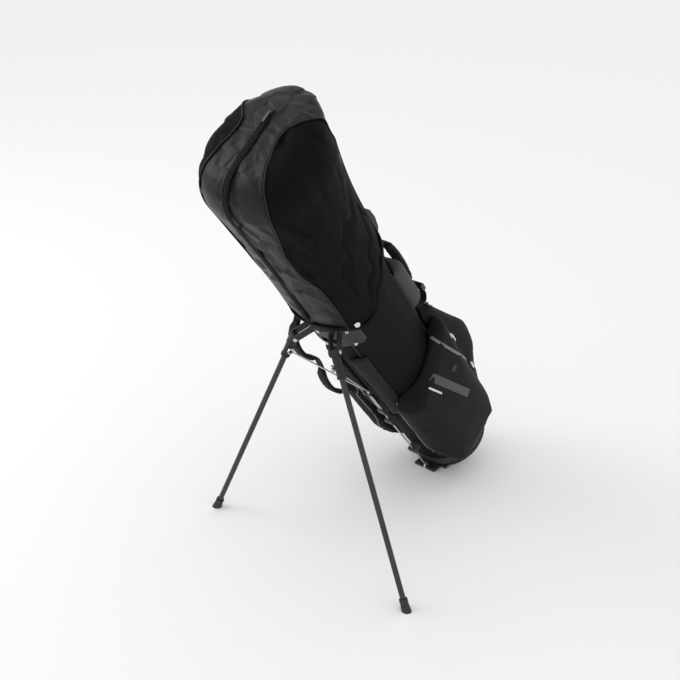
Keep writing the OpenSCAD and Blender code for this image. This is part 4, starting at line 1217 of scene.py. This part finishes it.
@dataclass
class Carrying:
    """Webbing of the shoulder straps, the ring's tab and the belly strap with its pads.

    Lines hold (y, z) places in the bag's frame.
    """

    strap_x: float = 0.031
    web: tuple = (0.02, 0.002)
    upper: tuple = ((0.1105, 0.7785), (0.12, 0.775), (0.1298, 0.7688))
    lower: tuple = (
        (0.1245, 0.6205), (0.129, 0.608), (0.1365, 0.59), (0.1458, 0.574), (0.1464, 0.56),
        (0.146, 0.546), (0.1428, 0.526), (0.1335, 0.5128), (0.1222, 0.5128),
    )
    ring: tuple = (0.062, 0.1171, 0.5357)
    ring_turn: float = math.radians(-70.17)
    belly_x: float = -0.098
    belly_pads: tuple = (
        ((-0.097, 0.712), (-0.124, 0.692), (-0.137, 0.655), (-0.135, 0.617), (-0.121, 0.581)),
        ((-0.127, 0.537), (-0.137, 0.503), (-0.137, 0.451), (-0.123, 0.413)),
    )
    belly_top: tuple = ((-0.031, 0.738), (-0.067, 0.731))
    belly_foot: tuple = ((-0.1183, 0.402),)
    belly_band: tuple = (0.022, 0.002)
    pad_band: tuple = (0.024, 0.009)
    pad_lift: float = 0.005
    tab_band: tuple = (0.0048, 0.0014)
    tab_radius: float = 0.0036
    tab_foot: tuple = (0.0046, -0.0043)

    def lie(self, x: float, line: tuple) -> tuple[Array, Array]:
        """A line in one plane across the bag, respaced evenly, and its outward directions."""
        path = evenly(np.array([(x, y, z) for y, z in line]), 0.004)
        tangent = unit(np.gradient(path, axis=0))
        up = np.stack([np.zeros(len(path)), -tangent[:, 2], tangent[:, 1]], -1)
        return path, up * np.sign((up[:, 1] * path[:, 1]).sum())

    def ribbon(self, name: str, x: float, line: tuple, band: tuple) -> Thing:
        """A strap whose middle line lies in one plane across the bag.

        Args:
            name: the piece's name.
            x: the plane's distance from the bag's middle.
            line: (y, z) places on it.
            band: the strap's width and thickness.

        Returns:
            The strap.
        """
        path, up = self.lie(x, line)
        return sweep(name, BAG.out(path), BAG.turn(up), box_section(*band), "webbing")

    def pad(self, line: tuple) -> Thing:
        """A foam pad along a line, thicker in its middle."""
        path, up = self.lie(self.belly_x, line)
        ends = np.minimum(np.linspace(0, 1, len(path)), np.linspace(1, 0, len(path)))
        taper = np.clip(ends * 9, 0.3, 1) ** 0.5
        path = BAG.out(path + up * self.pad_lift)
        section = box_section(*self.pad_band, 4)
        return sweep("belly_pad", path, BAG.turn(up), section, "strap_mesh", taper)

    def tab(self) -> Thing:
        """The folded tab that holds the towel ring: an arch over the ring's wire."""
        turn = np.linspace(math.radians(-40), math.radians(220), 26)
        y, z = self.tab_radius * np.cos(turn), self.tab_radius * np.sin(turn)
        foot_y, foot_z = self.tab_foot
        y = np.concatenate([[foot_y], y, [-foot_y]])
        z = np.concatenate([[foot_z], z, [foot_z]])
        c, s = math.cos(self.ring_turn), math.sin(self.ring_turn)
        place = np.array(self.ring)
        path = np.stack([np.zeros(len(y)), y * c - z * s, y * s + z * c], -1) + place
        up = unit(path - place)
        section = box_section(*self.tab_band)
        return sweep("ring_tab", BAG.out(path), BAG.turn(up), section, "webbing")

    def build(self) -> list[Thing]:
        parts = [self.tab()]
        for side in (1, -1):
            x = side * self.strap_x
            parts.append(self.ribbon(f"upper_web_{side}", x, self.upper, self.web))
            parts.append(self.ribbon(f"lower_web_{side}", x, self.lower, self.web))
        webs = join("carry_webbing", parts)
        pads = [self.pad(line) for line in self.belly_pads]
        line = self.belly_top + sum(self.belly_pads, ()) + self.belly_foot
        web = self.ribbon("belly_web", self.belly_x, line, self.belly_band)
        belly = join("belly_strap_web", [web, *pads])
        declare(webs, "bag", "strap_webbing")
        declare(belly, "bag", "belly_strap")
        return [webs, belly]


# ------------------------------------------------------------------ CAD nodes


def dress_nodes() -> None:
    """Gives every CAD node the finish of its slot in the record."""
    for part in frame["record"]["subparts"]:
        dress(frame["nodes"][part["node"]], part["material_slot"])


def crease_by_angle(limit: float = 35.0) -> None:
    """Shades the CAD nodes smooth except over edges sharper than the limit, in degrees."""
    for thing in frame["nodes"].values():
        shade_smooth(thing)
        split = thing.modifiers.new("edges", "EDGE_SPLIT")
        split.split_angle = math.radians(limit)


# ------------------------------------------------------------------ camera, floor and light


@dataclass(frozen=True)
class Viewpoint:
    """Where the photograph was taken from."""

    azimuth: float = 40.2
    elevation: float = 27.8
    distance: float = 2.5345
    focal_pixels: float = 1100.0
    sensor: float = 36.0
    aim: Triple = (-0.0389, -0.35646, 0.4969)

    def place(self) -> Thing:
        """Sets the scene's camera."""
        a, e = math.radians(self.azimuth), math.radians(self.elevation)
        back = Vector((math.sin(a) * math.cos(e), -math.cos(a) * math.cos(e), math.sin(e)))
        lens = bpy.data.cameras.new("camera")
        lens.sensor_fit = "AUTO"
        lens.sensor_width = self.sensor
        lens.lens = self.sensor * self.focal_pixels / PICTURE
        lens.clip_end = 60
        camera = add("camera", lens)
        camera.location = Vector(self.aim) + back * self.distance
        camera.rotation_euler = back.to_track_quat("Z", "Y").to_euler()
        bpy.context.scene.camera = camera
        return camera


@dataclass(frozen=True)
class Studio:
    """A pale floor and soft studio light."""

    pale: Triple = (0.93, 0.93, 0.93)
    reach: float = 30.0
    sky: float = 0.93
    key_place: Triple = (-2.6, -2.0, 2.6)
    key_size: float = 1.8
    key_power: float = 30.0
    aim: Triple = (0.0, -0.3, 0.5)

    def build(self) -> None:
        """Floor, world and a soft lamp."""
        r = self.reach
        mesh = bpy.data.meshes.new("floor")
        mesh.from_pydata([[-r, -r, 0], [r, -r, 0], [r, r, 0], [-r, r, 0]], [], [[0, 1, 2, 3]])
        floor = add("floor", mesh)
        bench = Bench("floor paper")
        bench.fix(Base_Color=(*self.pale, 1.0), Roughness=0.9, Specular_IOR_Level=0.1)
        mesh.materials.append(bench.material)
        self.world()
        self.lamp("key", self.key_place, self.key_size, self.key_power)

    def world(self) -> None:
        """Even sky that the camera, also through glass, sees as the pale backdrop."""
        world = bpy.data.worlds.new("studio")
        bpy.context.scene.world = world
        world.use_nodes = True
        tree = world.node_tree
        tree.nodes.clear()
        rays = add_node(tree, "ShaderNodeLightPath", {}, {}).outputs
        kinds = {0: rays["Is Camera Ray"], 1: rays["Is Transmission Ray"]}
        seen = add_node(tree, "ShaderNodeMath", {"operation": "MAXIMUM"}, kinds)
        shares = {0: seen.outputs[0]}
        for at, colour, strength in ((1, (1.0, 1.0, 1.0), self.sky), (2, self.pale, 1.0)):
            look = {"Color": (*colour, 1.0), "Strength": strength}
            shares[at] = add_node(tree, "ShaderNodeBackground", {}, look).outputs[0]
        mixer = add_node(tree, "ShaderNodeMixShader", {}, shares)
        add_node(tree, "ShaderNodeOutputWorld", {}, {"Surface": mixer.outputs[0]})

    def lamp(self, name: str, place: tuple, size: float, power: float) -> None:
        """A square soft lamp that faces the bag."""
        light = bpy.data.lights.new(name, "AREA")
        light.size = size
        light.energy = power
        lamp = add(name, light)
        lamp.location = place
        aim = Vector(self.aim) - Vector(place)
        lamp.rotation_euler = aim.to_track_quat("-Z", "Y").to_euler()


@dataclass
class Sight:
    """Places things where the photograph shows them, by rays from the camera."""

    camera: Thing
    things: list[Thing]
    tree: BVHTree = field(init=False)
    nearest: float = 1.5
    stride: float = 0.02
    strides: int = 100
    rounds: int = 6

    def __post_init__(self) -> None:
        self.tree = tree_of(self.things)

    def ray(self, x: float, y: float) -> Vector:
        """The row-frame direction of the ray through a picture place."""
        lens = self.camera.data
        way = Vector(
            (
                x - PICTURE / 2 + lens.shift_x * PICTURE,
                PICTURE / 2 - y + lens.shift_y * PICTURE,
                -PICTURE * lens.lens / lens.sensor_width,
            )
        )
        return (self.camera.rotation_euler.to_matrix() @ way).normalized()

    def meet(self, x: float, y: float) -> tuple[Vector, Vector]:
        """Where the ray meets the surface, or the place nearest the ray, and the normal."""
        way = self.ray(x, y)
        start = self.camera.location
        hit, normal, _, _ = self.tree.ray_cast(start, way)
        if hit is None:
            along = [self.nearest + self.stride * k for k in range(self.strides)]
            near = [self.tree.find_nearest(start + way * far) for far in along]
            hit, normal, _, _ = min(near, key=lambda found: found[3])
        if normal.dot(way) > 0:
            normal = -normal
        return hit, normal

    def trace(self, places: tuple, step: float = 0.004) -> tuple[Array, Array]:
        """A smooth line on the surface through picture places, with its normals."""
        met = [self.meet(x, y) for x, y in evenly(np.array(places, float), 2.0)]
        path = np.array([tuple(hit) for hit, _ in met])
        up = np.array([tuple(normal) for _, normal in met])
        soft = np.array([0.25, 0.5, 0.25])
        for _ in range(self.rounds):
            for column in (*path.T, *up.T):
                column[1:-1] = np.convolve(column, soft, "valid")
        line = evenly(path, step)
        return line, unit(picked(up, len(line)))


def mirrored(thing: Thing) -> Thing:
    """A copy on the other side of the bag, its faces turned to point out again."""
    twin = thing.copy()
    twin.data = thing.data.copy()
    bpy.context.scene.collection.objects.link(twin)
    places = values(twin.data) * np.array([-1, 1, 1], np.float32)
    twin.data.vertices.foreach_set("co", places.ravel())
    twin.data.flip_normals()
    return twin


@dataclass(frozen=True)
class Mark:
    """A named point of the photograph and the things that show there.

    A line has a second point, its far end, and then the two points' middle is compared.
    """

    name: str
    x: float
    y: float
    things: tuple[str, ...]
    side: int = 0
    end: tuple[float, float] | None = None

    @property
    def start(self) -> Array:
        """The point as an array."""
        return np.array([self.x, self.y])

    @property
    def middle(self) -> Array:
        """The point, or the middle of the line."""
        return self.start if self.end is None else (self.start + np.array(self.end)) / 2


LEFT, RIGHT, TOP, BOTTOM = 198.6, 491.0, 85.3, 614.0
MARKS: dict[str, Mark] = {
    mark.name: mark
    for mark in (
        Mark("far boot", 218, 502, ("left_leg_boot",)),
        Mark("near boot", 405, 605.5, ("right_leg_boot",)),
        Mark("snap", 357.5, 325, ("hood_snaps",), 1),
        Mark("hood zip slider", 268, 115, ("hood_zip_slider",)),
        Mark("near knuckle", 338, 363, ("right_leg_knuckle",)),
        Mark("towel ring", 429, 305, ("towel_ring",)),
        Mark("strap buckle", 419, 285, ("strap_buckles",), 1),
        Mark("grab handle", 371, 217, ("spine_handle",)),
        Mark("pocket disc", 454, 368, ("pocket_disc",), 1),
        Mark("pocket bar", 435, 390.5, ("pocket_bar",), 1),
        Mark("pocket band", 431, 377, ("pocket_band",), 1, (468, 393)),
        Mark("pocket zip", 431, 337, ("pocket_zip",), 1, (468, 360)),
        Mark("pocket piping", 388, 401, ("pocket_piping",), 1, (433, 453)),
    )
}


@dataclass
class Trim:
    """Zip line, piping, band, disc and bar of the side pockets."""

    cord: float = 0.0021
    lift: float = 0.0009
    zip_band: tuple = (0.007, 0.0022)
    bar_band: tuple = (0.005, 0.0024)
    wide_band: tuple = (0.021, 0.0012)
    bar_share: float = 0.33
    disc_r: float = 0.0105
    disc_rings: tuple = (1.0, 1.0, 0.93, 0.86, 0.8, 0.55, 0.3, 0.04)
    disc_heights: tuple = (-0.002, 0.0012, 0.002, 0.0019, 0.0009, 0.0014, 0.0017, 0.0018)
    disc_sides: int = 48

    def both(self, name: str, thing: Thing) -> Thing:
        """The piece with its twin on the other side."""
        return join(name, [thing, mirrored(thing)])

    def piping(self, name: str, sight: Sight, finish: str) -> Thing:
        """A cord sewn into a seam, on both sides of the bag."""
        mark = MARKS[name.replace("_", " ")]
        path, up = sight.trace((mark.start, mark.end))
        thing = sweep(name, path + up * self.lift, up, round_section(self.cord), finish)
        return self.both(name, thing)

    def flat(self, name: str, sight: Sight, size: tuple, finish: str) -> Thing:
        """A flat band of a width and thickness along a mark's line, on both sides of the bag.

        A mark without an end is the bar's: it lies along the pocket band, about its point.
        """
        mark = MARKS[name.replace("_", " ")]
        ends = (mark.start, mark.end)
        if mark.end is None:
            band = MARKS["pocket band"]
            half = (np.array(band.end) - band.start) * self.bar_share / 2
            ends = (mark.start - half, mark.start + half)
        path, up = sight.trace(ends)
        line = path + up * (self.lift + size[1] / 4)
        return self.both(name, sweep(name, line, up, box_section(*size), finish))

    def badge(self, sight: Sight) -> Thing:
        """The blank embossed disc: a low dome with a rim, turned about the pocket's normal."""
        hit, normal = sight.meet(*MARKS["pocket disc"].start)
        up = np.array(normal)
        side = unit(np.cross(up, [0.0, 0.0, 1.0]))
        ahead = np.cross(side, up)
        radius = self.disc_r * np.array(self.disc_rings)[:, None, None]
        height = np.array(self.disc_heights)[:, None, None]
        turn = whole_turn(self.disc_sides)[None, :, None]
        ring = np.cos(turn) * side + np.sin(turn) * ahead
        points = np.array(hit) + radius * ring + height * up
        shape = (len(self.disc_rings), self.disc_sides)
        faces = quads(*shape, True).tolist() + caps(*shape)
        thing = make("pocket_disc", points, faces, "piping")
        face_out(thing)
        return self.both("pocket_disc", thing)

    def build(self, near: Sight) -> list[Thing]:
        pieces = [
            self.flat("pocket_zip", near, self.zip_band, "light_piping"),
            self.piping("pocket_piping", near, "light_piping"),
            self.flat("pocket_bar", near, self.bar_band, "white_rubber"),
            self.flat("pocket_band", near, self.wide_band, "reflective"),
            self.badge(near),
        ]
        for piece in pieces:
            declare(piece, "bag")
        return pieces


def write_points(camera: Thing, most: int = 600, slack: float = 0.003) -> None:
    """Writes how far each thing shows from its point, by the finished vertices in view.

    Args:
        camera: the scene's camera.
        most: about how many vertices of a thing are tried.
        slack: how far behind the first surface a vertex still counts as in view.
    """
    shown = [
        thing
        for thing in bpy.context.scene.objects
        if thing.type == "MESH" and not thing.hide_render and thing.name != "floor"
    ]
    tree = tree_of(shown)
    graph = bpy.context.evaluated_depsgraph_get()
    turn = np.array(camera.rotation_euler.to_matrix())
    eye = np.array(camera.location)
    focal = PICTURE * camera.data.lens / camera.data.sensor_width

    def pictured(points: Array) -> Array:
        """Picture places of row-frame points."""
        seen = (points - eye) @ turn
        away = focal * seen[:, :2] / seen[:, 2:]
        return PICTURE / 2 + away * np.array([-1, 1])

    def vertices(thing: Thing) -> Array:
        """The finished vertices of a thing."""
        places = values(thing.evaluated_get(graph).to_mesh()).astype(float)
        thing.evaluated_get(graph).to_mesh_clear()
        return places

    def in_view(point: Array) -> bool:
        """Whether nothing is in front of a point."""
        way = Vector(point - eye)
        hit, _, _, far = tree.ray_cast(camera.location, way.normalized())
        return hit is None or far > way.length - slack

    by_name = {thing.name: thing for thing in shown}
    for node, thing in frame["nodes"].items():
        by_name.setdefault(node, thing)
    everything = pictured(np.concatenate([vertices(thing) for thing in shown]))
    low, high = everything.min(0), everything.max(0)
    errors = {
        "left": [round(low[0] - LEFT, 1), 0.0],
        "right": [round(high[0] - RIGHT, 1), 0.0],
        "top": [0.0, round(low[1] - TOP, 1)],
        "bottom": [0.0, round(high[1] - BOTTOM, 1)],
    }
    for mark in MARKS.values():
        points = np.concatenate([vertices(by_name[name]) for name in mark.things])
        if mark.side:
            points = points[points[:, 0] * mark.side > 0]
        points = points[:: max(1, len(points) // most)]
        seen = [point for point in points if in_view(point)]
        if not seen:
            errors[mark.name] = "hidden"
            continue
        place = pictured(np.array(seen))
        middle = (place.min(0) + place.max(0)) / 2
        errors[mark.name] = np.round(middle - mark.middle, 1).tolist()
    log.info("image points: %s", errors)


PADDED = (
    ("right_side_pocket", "right_pocket_fabric", "pocket_nylon"),
    ("left_side_pocket", "left_pocket_fabric", "pocket_nylon"),
    ("ball_pocket", "ball_pocket_fabric", "pocket_nylon"),
    ("valuables_pocket", "valuables_pocket_fabric", "grey_nylon"),
    ("shoulder_straps", "shoulder_pads", "strap_mesh"),
    ("hip_pad", "hip_pad_foam", "strap_mesh"),
    ("cuff_dividers", "divider_pads", "divider_fleece"),
)


def main() -> None:
    """Builds the looks in order and reports each piece."""
    logging.basicConfig(level=logging.INFO, format="%(name)s: %(message)s")
    bpy.context.scene.view_settings.view_transform = "Standard"
    dress_nodes()
    crease_by_angle()
    camera = Viewpoint().place()
    Studio().build()
    made: dict[str, Thing] = {}
    for part in (RainHood(), BagBody(), Carrying()):
        for piece in part.build():
            made[piece.name] = piece
    padding = Padding()
    for node, name, finish in PADDED:
        made[name] = padding.plump(node, name, finish, "bag")
    for piece in Trim().build(Sight(camera, [made["right_pocket_fabric"]])):
        made[piece.name] = piece
    for name, piece in made.items():
        log.info("%s: %d faces", name, len(piece.data.polygons))
    dress(frame["nodes"]["hood_zip_slider"], "dark_metal")
    write_points(camera)


if __name__ == "__main__":
    main()
